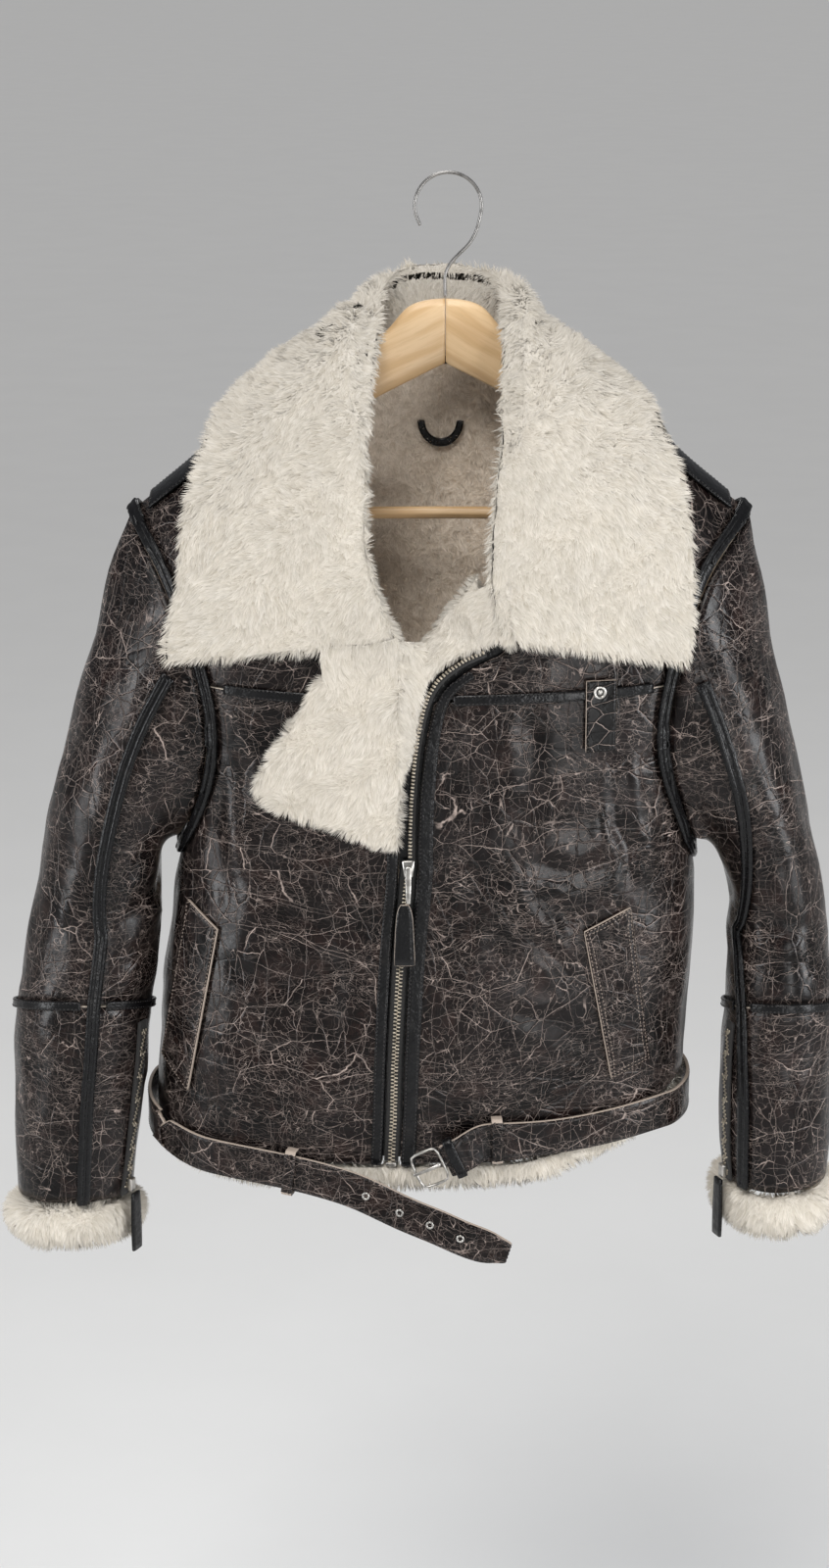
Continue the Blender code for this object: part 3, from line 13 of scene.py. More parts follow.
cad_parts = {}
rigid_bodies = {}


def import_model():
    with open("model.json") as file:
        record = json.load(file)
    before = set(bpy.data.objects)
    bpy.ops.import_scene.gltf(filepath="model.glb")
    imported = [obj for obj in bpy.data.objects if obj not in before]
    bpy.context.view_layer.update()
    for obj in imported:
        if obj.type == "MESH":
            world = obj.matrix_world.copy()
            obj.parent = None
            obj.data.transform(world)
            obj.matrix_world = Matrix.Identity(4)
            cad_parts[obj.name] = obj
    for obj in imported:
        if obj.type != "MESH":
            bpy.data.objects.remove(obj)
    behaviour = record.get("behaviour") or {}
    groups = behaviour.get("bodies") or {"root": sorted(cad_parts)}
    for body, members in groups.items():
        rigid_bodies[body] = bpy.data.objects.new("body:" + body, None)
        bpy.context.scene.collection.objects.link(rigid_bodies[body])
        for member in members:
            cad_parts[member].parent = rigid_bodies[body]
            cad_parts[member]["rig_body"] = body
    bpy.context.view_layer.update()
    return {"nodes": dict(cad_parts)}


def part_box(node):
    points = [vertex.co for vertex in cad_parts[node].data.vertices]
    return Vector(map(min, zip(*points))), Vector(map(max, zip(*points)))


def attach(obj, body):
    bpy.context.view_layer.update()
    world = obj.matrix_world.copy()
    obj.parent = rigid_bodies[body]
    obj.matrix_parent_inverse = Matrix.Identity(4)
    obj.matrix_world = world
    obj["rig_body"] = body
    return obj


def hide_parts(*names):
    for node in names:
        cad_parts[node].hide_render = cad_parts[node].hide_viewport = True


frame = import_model()
NODES = frame["nodes"]

MM = 0.001
CAMERA_PLACE = (-0.026, -2.4, 0.243)
CAMERA_DROP = 17.0  # degrees below level
CAMERA_LENS = 70.6
FLOOR = -1.75

LEATHER_COLOURS = ((0.0024, 0.0018, 0.0018), (0.0065, 0.0044, 0.0042))
RUST = (0.026, 0.0140, 0.0115)
CRACK_COLOUR = (0.39, 0.312, 0.275)
# Hair colours, both dimmed as painted shade because the hairs cast no shadows; the darker root colour is also
# painted shade deep in the pile.
FUR_TIP, FUR_ROOT = (0.61, 0.572, 0.515), (0.47, 0.435, 0.38)

# Layers of cracks: kind, stretch of x, y and z, scale, half width of a line, brightness, which of three
# masks it takes, and the mask's values where it starts and where it shows in full.
CRACKS = (
    ("cells", (0.55, 0.55, 1.55), 26.0, 0.0064, 1.00, 0, 0.38, 0.52),
    ("cells", (1.60, 1.60, 0.60), 38.0, 0.0078, 0.85, 1, 0.42, 0.55),
    ("lines", (0.45, 0.45, 1.70), 32.0, 0.0018, 0.70, 2, 0.56, 0.45),
    ("lines", (1.60, 1.60, 0.45), 40.0, 0.0024, 0.75, 0, 0.56, 0.42),
    ("lines", (0.55, 0.55, 1.50), 70.0, 0.0052, 0.85, 1, 0.58, 0.42),
    ("cells", (0.70, 0.70, 1.30), 92.0, 0.0140, 0.65, 2, 0.38, 0.56),
    ("lines", (1.20, 1.20, 0.80), 125.0, 0.0090, 0.60, 0, 0.40, 0.56),
    ("cells", (0.60, 0.60, 1.40), 165.0, 0.0220, 0.45, 1, 0.60, 0.42),
)
TAB_CRACKS = (
    ("cells", (0.80, 1.00, 1.20), 62.0, 0.018, 1.00, 0, 0.30, 0.42),
    ("cells", (1.20, 1.00, 0.80), 95.0, 0.016, 0.80, 1, 0.42, 0.56),
)
LAYER_SHIFT = (1.37, 0.71, 2.13)  # how far each layer's pattern lies from the one before
FOLDED_LAYERS = 2  # the first layers also fold the leather


def both(*names):
    """The left and the right node of each name."""
    return tuple(f"{name}_{side}" for name in names for side in ("left", "right"))


# Pieces of brown leather with a fur lining.
PANELS = both("front", "yoke", "back", "sleeve_upper", "sleeve_lower")
# Smooth black strips and tapes.
TRIMS = (
    *both("armhole_binding", "shoulder_band", "sleeve_strip", "elbow_strip", "front_binding", "yoke_binding"),
    "hang_loop", "belt_keeper", *both("cuff_pull"), "zip_tab",
)
TAPES = both("zip_tape", "cuff_zip")
POCKETS = both("pocket")
BELT = ("belt", *both("belt_loop"))
BROWN_SMALL = (*POCKETS, "chest_tab", *BELT)
RAW_EDGED = (*BROWN_SMALL, "zip_tab")  # their cut edges show the pale middle of the leather
FURS = ("collar", "lapel", "front_facing", *both("cuff_fur"), "hem_fur")


# ---------------------------------------------------------------- materials


class Shader:
    """A material's node tree, with one short call for each kind of node."""

    def __init__(self, name, colour):
        self.material = bpy.data.materials.new(name)
        self.material.use_nodes = True
        self.material.diffuse_color = (*colour, 1)
        self.tree = self.material.node_tree
        self.surface = self.tree.nodes["Principled BSDF"]
        self.here = self.add("ShaderNodeTexCoord", "Object")

    def put(self, socket, value):
        if isinstance(value, bpy.types.NodeSocket):
            self.tree.links.new(value, socket)
        else:
            socket.default_value = value

    def add(self, kind, output, inputs=None, **settings):
        """The named output of a new node with these inputs and settings."""
        node = self.tree.nodes.new(kind)
        for key, value in settings.items():
            setattr(node, key, value)
        for key, value in (inputs or {}).items():
            self.put(node.inputs[key], value)
        return node.outputs[output]

    def math(self, operation, first, second=0.0):
        return self.add("ShaderNodeMath", 0, {0: first, 1: second}, operation=operation)

    def times(self, first, second):
        return self.math("MULTIPLY", first, second)

    def plus(self, first, second):
        return self.math("ADD", first, second)

    def vector(self, operation, first, second):
        return self.add("ShaderNodeVectorMath", 0, {0: first, 1: second}, operation=operation)

    def scaled(self, vector, scale):
        return self.vector("MULTIPLY", vector, scale)

    def noise(self, vector, scale, detail=3.0, rough=0.55, colour=False):
        inputs = {"Vector": vector, "Scale": scale, "Detail": detail, "Roughness": rough}
        return self.add("ShaderNodeTexNoise", "Color" if colour else "Fac", inputs)

    def warped(self, vector, scale, amount, detail=2.0):
        """The place, shifted by a noise of this size."""
        shift = self.vector("SUBTRACT", self.noise(vector, scale, detail, colour=True), (0.5, 0.5, 0.5))
        return self.vector("ADD", vector, self.scaled(shift, (amount, amount, amount)))

    def channels(self, colour):
        red = self.add("ShaderNodeSeparateColor", 0, {0: colour})
        return list(red.node.outputs)[:3]

    def turned(self, vector, angle):
        """The place, turned about the y axis by this many degrees."""
        inputs = {"Vector": vector, "Angle": math.radians(angle)}
        return self.add("ShaderNodeVectorRotate", 0, inputs, rotation_type="Y_AXIS")

    def voronoi(self, vector, scale, feature="DISTANCE_TO_EDGE"):
        inputs = {"Vector": vector, "Scale": scale}
        return self.add("ShaderNodeTexVoronoi", "Distance", inputs, feature=feature)

    def steps(self, value, low, high, smooth=True):
        """0 below low and 1 above high, or the other way round where low is the larger."""
        falls = low > high
        inputs = {"Value": value, "From Min": min(low, high), "From Max": max(low, high)}
        inputs.update({"To Min": 1.0 if falls else 0.0, "To Max": 0.0 if falls else 1.0})
        kind = "SMOOTHSTEP" if smooth else "LINEAR"
        return self.add("ShaderNodeMapRange", "Result", inputs, interpolation_type=kind)

    def mix(self, share, first, second, blend="MIX"):
        inputs = {"Factor": share}
        for key, colour in (("A", first), ("B", second)):
            inputs[key] = colour if isinstance(colour, bpy.types.NodeSocket) else (*colour, 1)
        return self.add("ShaderNodeMix", "Result", inputs, data_type="RGBA", blend_type=blend)

    def attribute(self, name, output="Fac"):
        return self.add("ShaderNodeAttribute", output, attribute_name=name)

    def bump(self, height, distance, strength=1.0, under=None):
        inputs = {"Strength": strength, "Distance": distance, "Height": height}
        if under is not None:
            inputs["Normal"] = under
        return self.add("ShaderNodeBump", "Normal", inputs)

    def finish(self, colour, rough, normal=None, **constants):
        self.put(self.surface.inputs["Base Color"], colour)
        self.put(self.surface.inputs["Roughness"], rough)
        if normal is not None:
            self.put(self.surface.inputs["Normal"], normal)
        for key, value in constants.items():
            self.put(self.surface.inputs[key.replace("_", " ")], value)
        return self.material


def crack_layer(s, place, number, layer):
    """(the line, how far each place is from it) for one layer of cracks."""
    kind, stretch, scale, half = layer[:4]
    shift = tuple(number * step for step in LAYER_SHIFT)
    there = s.vector("ADD", s.scaled(place, stretch), shift)
    if kind == "cells":
        away = s.voronoi(there, scale)
    else:
        level = s.math("SUBTRACT", s.noise(there, scale, 1.0, 0.5), 0.5)
        away = s.math("ABSOLUTE", level)
    return s.steps(away, half, half * 0.1), away


def crackle_leather(name, layers=CRACKS, base_share=1.0):
    """Glossy dark leather with a net of thin pale cracks that comes and goes."""
    s = Shader(name, LEATHER_COLOURS[1])
    place = s.warped(s.warped(s.here, 8.0, 0.05, 1.0), 55.0, 0.0060, 4.0)
    masks = s.channels(s.noise(s.here, 17.0, 2.0, colour=True))
    cracks = relief = None
    for number, layer in enumerate(layers):
        half, bright, mask, low, high = layer[3:]
        line, away = crack_layer(s, place, number, layer)
        shown = s.times(s.times(line, s.steps(masks[mask], low, high)), bright)
        cracks = shown if cracks is None else s.math("MAXIMUM", cracks, shown)
        if number < FOLDED_LAYERS:
            fold = s.times(s.steps(away, 0.0, half * 5.0), bright)
            relief = fold if relief is None else s.plus(relief, fold)
    worn = s.steps(s.noise(s.here, 90.0, 3.0, 0.7), 0.32, 0.62)
    shown = s.times(cracks, s.plus(s.times(worn, 0.65), 0.35))
    base = s.mix(s.steps(masks[0], 0.35, 0.66), LEATHER_COLOURS[0], LEATHER_COLOURS[1])
    rust = s.steps(s.noise(place, 40.0, 4.0, 0.75), 0.46, 0.75)
    base = s.mix(s.times(rust, 0.6), base, RUST)
    base = s.mix(1.0, base, (base_share,) * 3, "MULTIPLY")
    colour = s.mix(shown, base, CRACK_COLOUR)
    waves = s.times(s.noise(place, 34.0, 3.0, 0.5), 1.9)
    height = s.plus(s.times(relief, 0.22), waves)
    normal = s.bump(height, 1.1 * MM, 0.8)
    pores = s.plus(s.noise(s.here, 620.0, 2.0), s.times(cracks, -0.8))
    normal = s.bump(pores, 0.07 * MM, 0.6, normal)
    gloss = s.steps(s.noise(place, 22.0, 3.0, 0.6), 0.35, 0.65)
    rough = s.plus(s.times(gloss, 0.16), 0.20)
    rough = s.plus(rough, s.times(cracks, 0.20))
    return s.finish(colour, rough, normal, Specular_IOR_Level=0.22)


def black_leather(name):
    """Smooth leather with a fine grain, a little worn in places."""
    s = Shader(name, (0.01, 0.01, 0.011))
    place = s.warped(s.here, 40.0, 0.004)
    grain = s.voronoi(place, 620.0, "F1")
    broad = s.noise(place, 110.0, 3.0, 0.6)
    wear = s.steps(s.noise(s.here, 48.0, 4.0, 0.7), 0.56, 0.80)
    colour = s.mix(wear, (0.0035, 0.0035, 0.0040), (0.013, 0.0115, 0.011))
    normal = s.bump(broad, 1.5 * MM, 0.6)
    normal = s.bump(grain, 0.12 * MM, 0.6, normal)
    rough = s.plus(s.times(broad, 0.18), 0.18)
    return s.finish(colour, rough, normal, Specular_IOR_Level=0.28)


def fur_strands(name, tip, root):
    """Hairs, darker at their roots as painted shade deep in the pile, each with a tone of its own."""
    s = Shader(name, tip)
    along, tone = s.attribute("along"), s.attribute("tone")
    # painted shade: the colour darkens from the tip to the root, in place of the shadows that the hairs do
    # not cast
    colour = s.mix(s.steps(along, 0.0, 0.7, smooth=False), root, tip)
    shade = s.mix(tone, (0.80, 0.78, 0.74), (1.06, 1.06, 1.06))
    colour = s.mix(1.0, colour, shade, "MULTIPLY")
    broad = s.steps(s.noise(s.here, 26.0, 3.0), 0.40, 0.64)
    colour = s.mix(s.times(broad, 0.22), colour, tuple(c * 0.9 for c in root))
    return s.finish(colour, 0.9, None, Specular_IOR_Level=0.1)


def fleece(name, colour_high, colour_low, own_normals=False):
    """Short dense pile, as the ground under the locks and as the lining."""
    curl = 150.0  # the scale of its tufts
    s = Shader(name, colour_high)
    place = s.warped(s.here, 60.0, 0.006, 3.0)
    tufts = s.noise(place, curl, 4.0, 0.65)
    deep = s.voronoi(place, curl * 0.8, "SMOOTH_F1")
    height = s.plus(tufts, s.times(deep, 0.6))
    broad = s.noise(s.here, 22.0, 3.0)
    colour = s.mix(s.steps(tufts, 0.32, 0.66), colour_low, colour_high)
    colour = s.mix(s.times(s.steps(broad, 0.40, 0.62), 0.3), colour, colour_low)
    pile = s.attribute("pile", "Vector") if own_normals else None
    normal = s.bump(height, 3.0 * MM, 0.8, pile)
    return s.finish(colour, 0.95, normal, Specular_IOR_Level=0.1, Sheen_Weight=0.1, Sheen_Roughness=0.5)


def wood(name, light, dark, slope):
    """Pale wood whose grain runs at this slope, in degrees."""
    s = Shader(name, light)
    along = s.turned(s.warped(s.here, 9.0, 0.012), slope)
    rings = s.noise(s.scaled(along, (10.0, 60.0, 130.0)), 1.0, 3.0, 0.5)
    fibres = s.noise(s.scaled(along, (60.0, 900.0, 1500.0)), 1.0, 2.0)
    colour = s.mix(s.steps(rings, 0.38, 0.64), light, dark)
    darker = tuple(c * 0.78 for c in dark)
    colour = s.mix(s.times(s.steps(fibres, 0.50, 0.72), 0.3), colour, darker)
    normal = s.bump(fibres, 0.08 * MM, 0.4)
    rough = s.plus(s.times(rings, 0.15), 0.34)
    return s.finish(colour, rough, normal, Coat_Weight=0.15, Coat_Roughness=0.3)


def metal(name, colour, rough):
    s = Shader(name, colour)
    scratches = s.noise(s.scaled(s.here, (500.0, 500.0, 90.0)), 1.0, 3.0)
    tarnish = s.steps(s.noise(s.here, 160.0, 3.0), 0.42, 0.70)
    shade = s.mix(tarnish, colour, tuple(c * 0.6 for c in colour))
    roughness = s.plus(s.times(scratches, 0.2), rough)
    return s.finish(shade, roughness, s.bump(scratches, 0.02 * MM, 0.3), Metallic=1.0)


def woven_tape(name):
    s = Shader(name, (0.012, 0.011, 0.011))
    rows = s.noise(s.scaled(s.here, (2600.0, 500.0, 900.0)), 1.0, 1.0)
    colour = s.mix(rows, (0.008, 0.008, 0.008), (0.030, 0.028, 0.027))
    return s.finish(colour, 0.78, s.bump(rows, 0.25 * MM, 0.8), Sheen_Weight=0.1)


def thread(name, colour):
    s = Shader(name, colour)
    twist = s.noise(s.here, 2200.0, 1.0)
    return s.finish(s.mix(twist, tuple(c * 0.6 for c in colour), colour), 0.6, s.bump(twist, 0.1 * MM))


def plain_floor():
    s = Shader("pale_floor", (0.86, 0.86, 0.85))
    mottle = s.noise(s.here, 5.0, 3.0)
    return s.finish(s.mix(mottle, (0.74, 0.74, 0.735), (0.78, 0.78, 0.775)), 0.8)


BROWN = crackle_leather("brown_leather_crackled")
TAB_LEATHER = crackle_leather("brown_leather_folded_hard", TAB_CRACKS, 0.25)
BLACK = black_leather("black_leather_smooth")
FUR = fur_strands("fur_strands", FUR_TIP, FUR_ROOT)
GROUND = fleece("fur_ground", (0.60, 0.562, 0.505), FUR_ROOT, own_normals=True)
LINING = fleece("fur_lining", (0.90, 0.80, 0.69), (0.64, 0.54, 0.435))
LINING_STRANDS = fur_strands("lining_strands", (0.93, 0.835, 0.73), (0.72, 0.62, 0.51))
RAW_EDGE = thread("raw_edge", (0.46, 0.375, 0.31))
THREAD = thread("dark_thread", (0.030, 0.026, 0.025))
PALE_THREAD = thread("pale_thread", (0.34, 0.27, 0.225))
NICKEL = metal("nickel", (0.52, 0.50, 0.47), 0.22)
STEEL = metal("steel_wire", (0.30, 0.29, 0.28), 0.30)
BRONZE = metal("old_brass", (0.52, 0.46, 0.37), 0.26)
TAPE = woven_tape("zip_tape_weave")
LEFT_WOOD = wood("beech_left", (0.71, 0.51, 0.30), (0.60, 0.395, 0.20), 26.0)
RIGHT_WOOD = wood("beech_right", (0.70, 0.495, 0.28), (0.58, 0.375, 0.185), -30.0)
BAR_WOOD = wood("beech_bar", (0.70, 0.495, 0.285), (0.57, 0.37, 0.185), 0.0)


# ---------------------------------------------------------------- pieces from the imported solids


def joined(node):
    """The node's mesh with its corners merged and its triangles paired."""
    bm = bmesh.new()
    bm.from_mesh(NODES[node].data)
    bmesh.ops.remove_doubles(bm, verts=bm.verts, dist=1e-5)
    bmesh.ops.join_triangles(
        bm, faces=bm.faces[:], angle_face_threshold=math.radians(50), angle_shape_threshold=math.radians(120)
    )
    for layer in list(bm.loops.layers.uv):
        bm.loops.layers.uv.remove(layer)
    return bm


def object_from(name, mesh, materials):
    obj = bpy.data.objects.new(name, mesh)
    bpy.context.scene.collection.objects.link(obj)
    for material in materials:
        mesh.materials.append(material)
    mesh.shade_smooth()
    return obj


def built(name, points, faces, materials):
    mesh = bpy.data.meshes.new(name)
    mesh.from_pydata(points, [], faces)
    return object_from(name, mesh, materials)


def quads(rows, columns, closed=False, turned=False):
    """The faces of a grid of points, row after row, or of a tube where its rows are closed."""
    faces = []
    for j in range(rows - 1):
        for k in range(columns if closed else columns - 1):
            a, b = j * columns + k, j * columns + (k + 1) % columns
            faces.append((a, a + columns, b + columns, b) if turned else (a, b, b + columns, a + columns))
    return faces


def refined(name, bm, levels, materials, sharp=48.0, crease=0.8):
    """A smooth object from a bmesh, its sharp edges kept fairly tight."""
    layer = bm.edges.layers.float.new("crease_edge")
    for edge in bm.edges:
        if edge.is_manifold and edge.calc_face_angle(0.0) > math.radians(sharp):
            edge[layer] = crease
    mesh = bpy.data.meshes.new(name)
    bm.to_mesh(mesh)
    bm.free()
    obj = object_from(name, mesh, materials)
    modifier = obj.modifiers.new("smooth", "SUBSURF")
    modifier.levels = modifier.render_levels = levels
    graph = bpy.context.evaluated_depsgraph_get()
    smooth = bpy.data.meshes.new_from_object(obj.evaluated_get(graph))
    obj.modifiers.clear()
    obj.data = smooth
    smooth.name = name
    bpy.data.meshes.remove(mesh)
    smooth.shade_smooth()
    return obj


def points_of(obj):
    """The mesh's points and normals as arrays."""
    count = len(obj.data.vertices)
    points, normals = np.empty(count * 3), np.empty(count * 3)
    obj.data.vertices.foreach_get("co", points)
    obj.data.vertices.foreach_get("normal", normals)
    return points.reshape(-1, 3), normals.reshape(-1, 3)


def set_points(obj, points):
    obj.data.vertices.foreach_set("co", np.asarray(points, np.float32).ravel())
    obj.data.update()


def tree_of(names):
    """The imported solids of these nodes, for rays and nearest places."""
    points, faces = [], []
    for name in names:
        mesh = NODES[name].data
        mesh.calc_loop_triangles()
        base = len(points)
        points += [vertex.co.copy() for vertex in mesh.vertices]
        faces += [tuple(base + i for i in triangle.vertices) for triangle in mesh.loop_triangles]
    return BVHTree.FromPolygons(points, faces)


def tree_from(obj):
    """The same for a piece of the scene."""
    points, _ = points_of(obj)
    faces = [tuple(polygon.vertices) for polygon in obj.data.polygons]
    return BVHTree.FromPolygons(points.tolist(), faces)


def from_front(tree, x, z):
    """(place, normal) where a line straight back at x and z, in mm, meets these pieces, or (None, None)."""
    return tree.ray_cast(Vector((x * MM, -0.4, z * MM)), Vector((0, 1, 0)), 1.0)[:2]


def smooth_step(value, low, high):
    share = np.clip((value - low) / (high - low), 0, 1)
    return share * share * (3 - 2 * share)


def swirl(points, size, seed):
    """A smooth random vector at each point, of about unit length, that turns over this distance."""
    rng = np.random.default_rng(seed)
    total = np.zeros_like(points)
    for _ in range(7):
        wave = rng.normal(size=3) / size
        phase = rng.uniform(0, 2 * math.pi)
        total += np.sin(points @ wave * 2 * math.pi * 0.5 + phase)[:, None] * rng.normal(size=3)
    return total / 2.6


def units(vectors):
    return vectors / np.maximum(np.linalg.norm(vectors, axis=1), 1e-9)[:, None]


# Creases pressed into the leather: the side (-1 front, 1 back), depth and half width in mm, then x, z in mm.
CREASES = (
    (-1, 2.6, 7, (128, -422), (134, -492), (143, -512), (146, -556)),
    (-1, 1.8, 7, (70, -545), (96, -566), (122, -600)),
    (-1, 1.5, 6, (58, -575), (88, -602), (112, -640)),
    (-1, 1.6, 8, (62, -520), (98, -530), (130, -524)),
    (-1, 1.3, 7, (40, -640), (80, -652), (116, -676)),
    (-1, 2.0, 8, (-194, -364), (-191, -424), (-185, -496), (-177, -570)),
    (-1, 1.4, 9, (-150, -500), (-128, -560), (-134, -640)),
    (-1, 1.2, 8, (-90, -560), (-74, -620), (-84, -700)),
    (-1, 1.2, 8, (60, -360), (66, -430), (60, -500)),
    (-1, 1.5, 8, (-200, -600), (-150, -622), (-96, -614)),
    (-1, 1.3, 8, (-212, -690), (-150, -676), (-90, -690)),
    (-1, 1.4, 8, (120, -700), (160, -712), (190, -700)),
    (1, 2.2, 11, (-190, -420), (-120, -455), (-40, -440)),
    (1, 1.8, 10, (176, -430), (110, -470), (40, -462)),
    (1, 1.7, 10, (-170, -560), (-100, -590), (-20, -574)),
    (1, 1.7, 10, (20, -600), (100, -622), (170, -600)),
    (1, 1.5, 9, (-150, -660), (-60, -684), (60, -672)),
    (1, 1.4, 9, (-60, -300), (-90, -380), (-150, -430)),
    (1, 1.4, 9, (56, -300), (90, -372), (150, -420)),
)
# The same on the sleeves.
SLEEVE_CREASES = (
    (-1, 2.2, 8, (-225, -560), (-262, -584), (-318, -590)),
    (-1, 1.8, 8, (-236, -600), (-270, -622), (-330, -618)),
    (-1, 1.6, 7, (-228, -520), (-256, -538), (-300, -536)),
    (-1, 1.4, 8, (-332, -640), (-300, -650), (-262, -644)),
    (-1, 1.5, 9, (-300, -440), (-276, -490), (-270, -540)),
    (-1, 1.4, 8, (-345, -720), (-312, -736), (-286, -728)),
    (-1, 2.2, 8, (214, -556), (244, -580), (300, -590)),
    (-1, 1.8, 8, (226, -604), (256, -622), (306, -618)),
    (-1, 1.6, 7, (212, -516), (240, -534), (282, -536)),
    (-1, 1.4, 8, (304, -650), (280, -656), (246, -640)),
    (-1, 1.3, 8, (310, -730), (288, -742), (262, -736)),
    (1, 2.3, 10, (-236, -580), (-280, -602), (-334, -590)),
    (1, 2.0, 10, (-240, -630), (-290, -640), (-340, -622)),
    (1, 1.6, 9, (-250, -520), (-290, -536), (-322, -520)),
    (1, 2.3, 10, (226, -576), (264, -600), (310, -590)),
    (1, 2.0, 10, (230, -626), (268, -640), (312, -622)),
    (1, 1.6, 9, (238, -516), (270, -534), (300, -520)),
)


def pressed(points, middle_y, creases):
    """How far each point moves along its normal, from the creases and a slow unevenness."""
    flat = points[:, [0, 2]] / MM
    total = swirl(points, 0.075, 5)[:, 0] * 0.9 + swirl(points, 0.028, 6)[:, 1] * 0.35
    for side, depth, width, *line in creases:
        here = np.where((points[:, 1] - middle_y) * side > 0, 1.0, 0.0)
        best = np.full(len(points), 1e9)
        along = np.zeros(len(points))
        for k, (start, end) in enumerate(zip(line[:-1], line[1:])):
            start, run = np.array(start, float), np.array(end, float) - np.array(start, float)
            share = np.clip(((flat - start) @ run) / (run @ run), 0, 1)
            away = np.linalg.norm(flat - start - share[:, None] * run, axis=1)
            nearer = away < best
            best = np.where(nearer, away, best)
            along = np.where(nearer, (k + share) / (len(line) - 1), along)
        ends = np.sin(math.pi * np.clip(along, 0.03, 0.97)) ** 0.6
        groove = -np.exp(-((best / width) ** 2))
        ridge = 0.55 * np.exp(-(((best - 2.1 * width) / (1.1 * width)) ** 2))
        total += depth * (groove + ridge) * ends * here
    return total * MM


# The middle line of each sleeve: z and x.
SLEEVE_MIDDLES = {
    "left": (
        (-0.831, -0.310), (-0.705, -0.300), (-0.59, -0.284),
        (-0.48, -0.262), (-0.38, -0.236), (-0.28, -0.225),
    ),
    "right": (
        (-0.814, 0.274), (-0.705, 0.273), (-0.59, 0.270),
        (-0.48, 0.252), (-0.38, 0.226), (-0.28, 0.215),
    ),
}


def middle_of(node, points):
    """A point inside the body or the sleeve for each of these points, from which outward is told."""
    if node.startswith("sleeve"):
        line = SLEEVE_MIDDLES["left" if node.endswith("left") else "right"]
        x = np.interp(points[:, 2], [z for z, _ in line], [x for _, x in line])
        y = np.full(len(points), -0.034)
        z = np.minimum(points[:, 2], -0.33)
        return np.stack([x, y, z], axis=1)
    z = np.minimum(points[:, 2], -0.30)
    return np.stack([np.full(len(points), -0.02), np.full(len(points), -0.02), z], axis=1)


def outward(node, points, normals):
    return np.einsum("ij,ij->i", points - middle_of(node, points), normals) > 0


def is_cut_edge(node, face):
    """Whether a face is the cut edge of a strap, not its front or back."""
    if node == "zip_tab":
        return abs(face.normal.y) < 0.5
    if node == "chest_tab" or node.startswith("pocket"):
        return face.normal.dot(PANEL_TREE.find_nearest(face.calc_center_median())[1]) < 0.5
    return abs(face.normal.z) > 0.6


def in_place_of(node, piece):
    """The piece takes the node's place and body."""
    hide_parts(node)
    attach(piece, NODES[node]["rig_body"])
    pieces[node] = piece


def on_coat(name, piece):
    """A piece that has no node rides on the coat."""
    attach(piece, "coat")
    pieces[name] = piece


def dressed(node, material, levels, sharp, crease):
    """A smooth piece in a node's place."""
    bm = joined(node)
    materials = (material,)
    if node in RAW_EDGED:
        for face in bm.faces:
            face.material_index = 1 if is_cut_edge(node, face) else 0
        materials = (material, RAW_EDGE)
    in_place_of(node, refined(node + "_look", bm, levels, materials, sharp, crease))


PANEL_TREE = tree_of(PANELS)
BESIDE_ZIP = 24  # mm from the zip's middle
CREASES_FADE = (0.004, 0.022)  # creases are gone this near to a trim, and whole from this far on
pieces = {}


def by_zip(place):
    """Whether a place at the front is close beside the zip."""
    line = np.array(ZIP_LINE, float)
    away = np.linalg.norm(line - np.array([place.x, place.z]) / MM, axis=1)
    return place.y < -0.05 and away.min() < BESIDE_ZIP


def make_panels():
    over = tree_of([name for name in TRIMS + TAPES + BROWN_SMALL if not name.startswith("hang")])
    for node in PANELS:
        bm = joined(node)
        centres = np.array([face.calc_center_median() for face in bm.faces])
        normals = np.array([face.normal for face in bm.faces])
        for face, out in zip(bm.faces, outward(node, centres, normals)):
            face.material_index = 0 if out else 1
            if not out and by_zip(face.calc_center_median()):
                face.material_index = 2
        levels = 3 if node.startswith("front") else 2
        piece = refined(node + "_look", bm, levels, (BROWN, LINING, BLACK))
        points, normals = points_of(piece)
        creases = SLEEVE_CREASES if node.startswith("sleeve") else CREASES
        middle = middle_of(node, points)
        move = pressed(points, middle[:, 1], creases)
        outer = outward(node, points, normals)
        clear = np.array([min(over.find_nearest(Vector(point))[3], 0.05) for point in points])
        share = smooth_step(clear, *CREASES_FADE)
        move = np.where(outer, move, 0.0) * share
        set_points(piece, points + normals * move[:, None])
        in_place_of(node, piece)


# ---------------------------------------------------------------- fur


def triangles_of(obj):
    """The corners and the material number of each triangle."""
    obj.data.calc_loop_triangles()
    count = len(obj.data.loop_triangles)
    corners, owners = np.empty(count * 3, np.int32), np.empty(count, np.int32)
    obj.data.loop_triangles.foreach_get("vertices", corners)
    obj.data.loop_triangles.foreach_get("material_index", owners)
    return corners.reshape(-1, 3), owners


def scattered(obj, count, rng, keep, even=None):
    """Random places on the faces for which keep(centres, materials) is true, and the normals there."""
    points, normals = points_of(obj)
    normals = normals if even is None else even
    corners, owners = triangles_of(obj)
    a, b, c = points[corners[:, 0]], points[corners[:, 1]], points[corners[:, 2]]
    areas = np.linalg.norm(np.cross(b - a, c - a), axis=1)
    weights = np.where(keep((a + b + c) / 3, owners), areas, 0.0)
    picks = np.searchsorted(np.cumsum(weights) / weights.sum(), rng.random(count))
    picks = np.minimum(picks, len(corners) - 1)
    u, v = rng.random(count), rng.random(count)
    over = u + v > 1
    u, v = np.where(over, 1 - u, u)[:, None], np.where(over, 1 - v, v)[:, None]
    place = a[picks] + (b[picks] - a[picks]) * u + (c[picks] - a[picks]) * v
    tri = corners[picks]
    normal = normals[tri[:, 0]] * (1 - u - v) + normals[tri[:, 1]] * u + normals[tri[:, 2]] * v
    return place, units(normal)


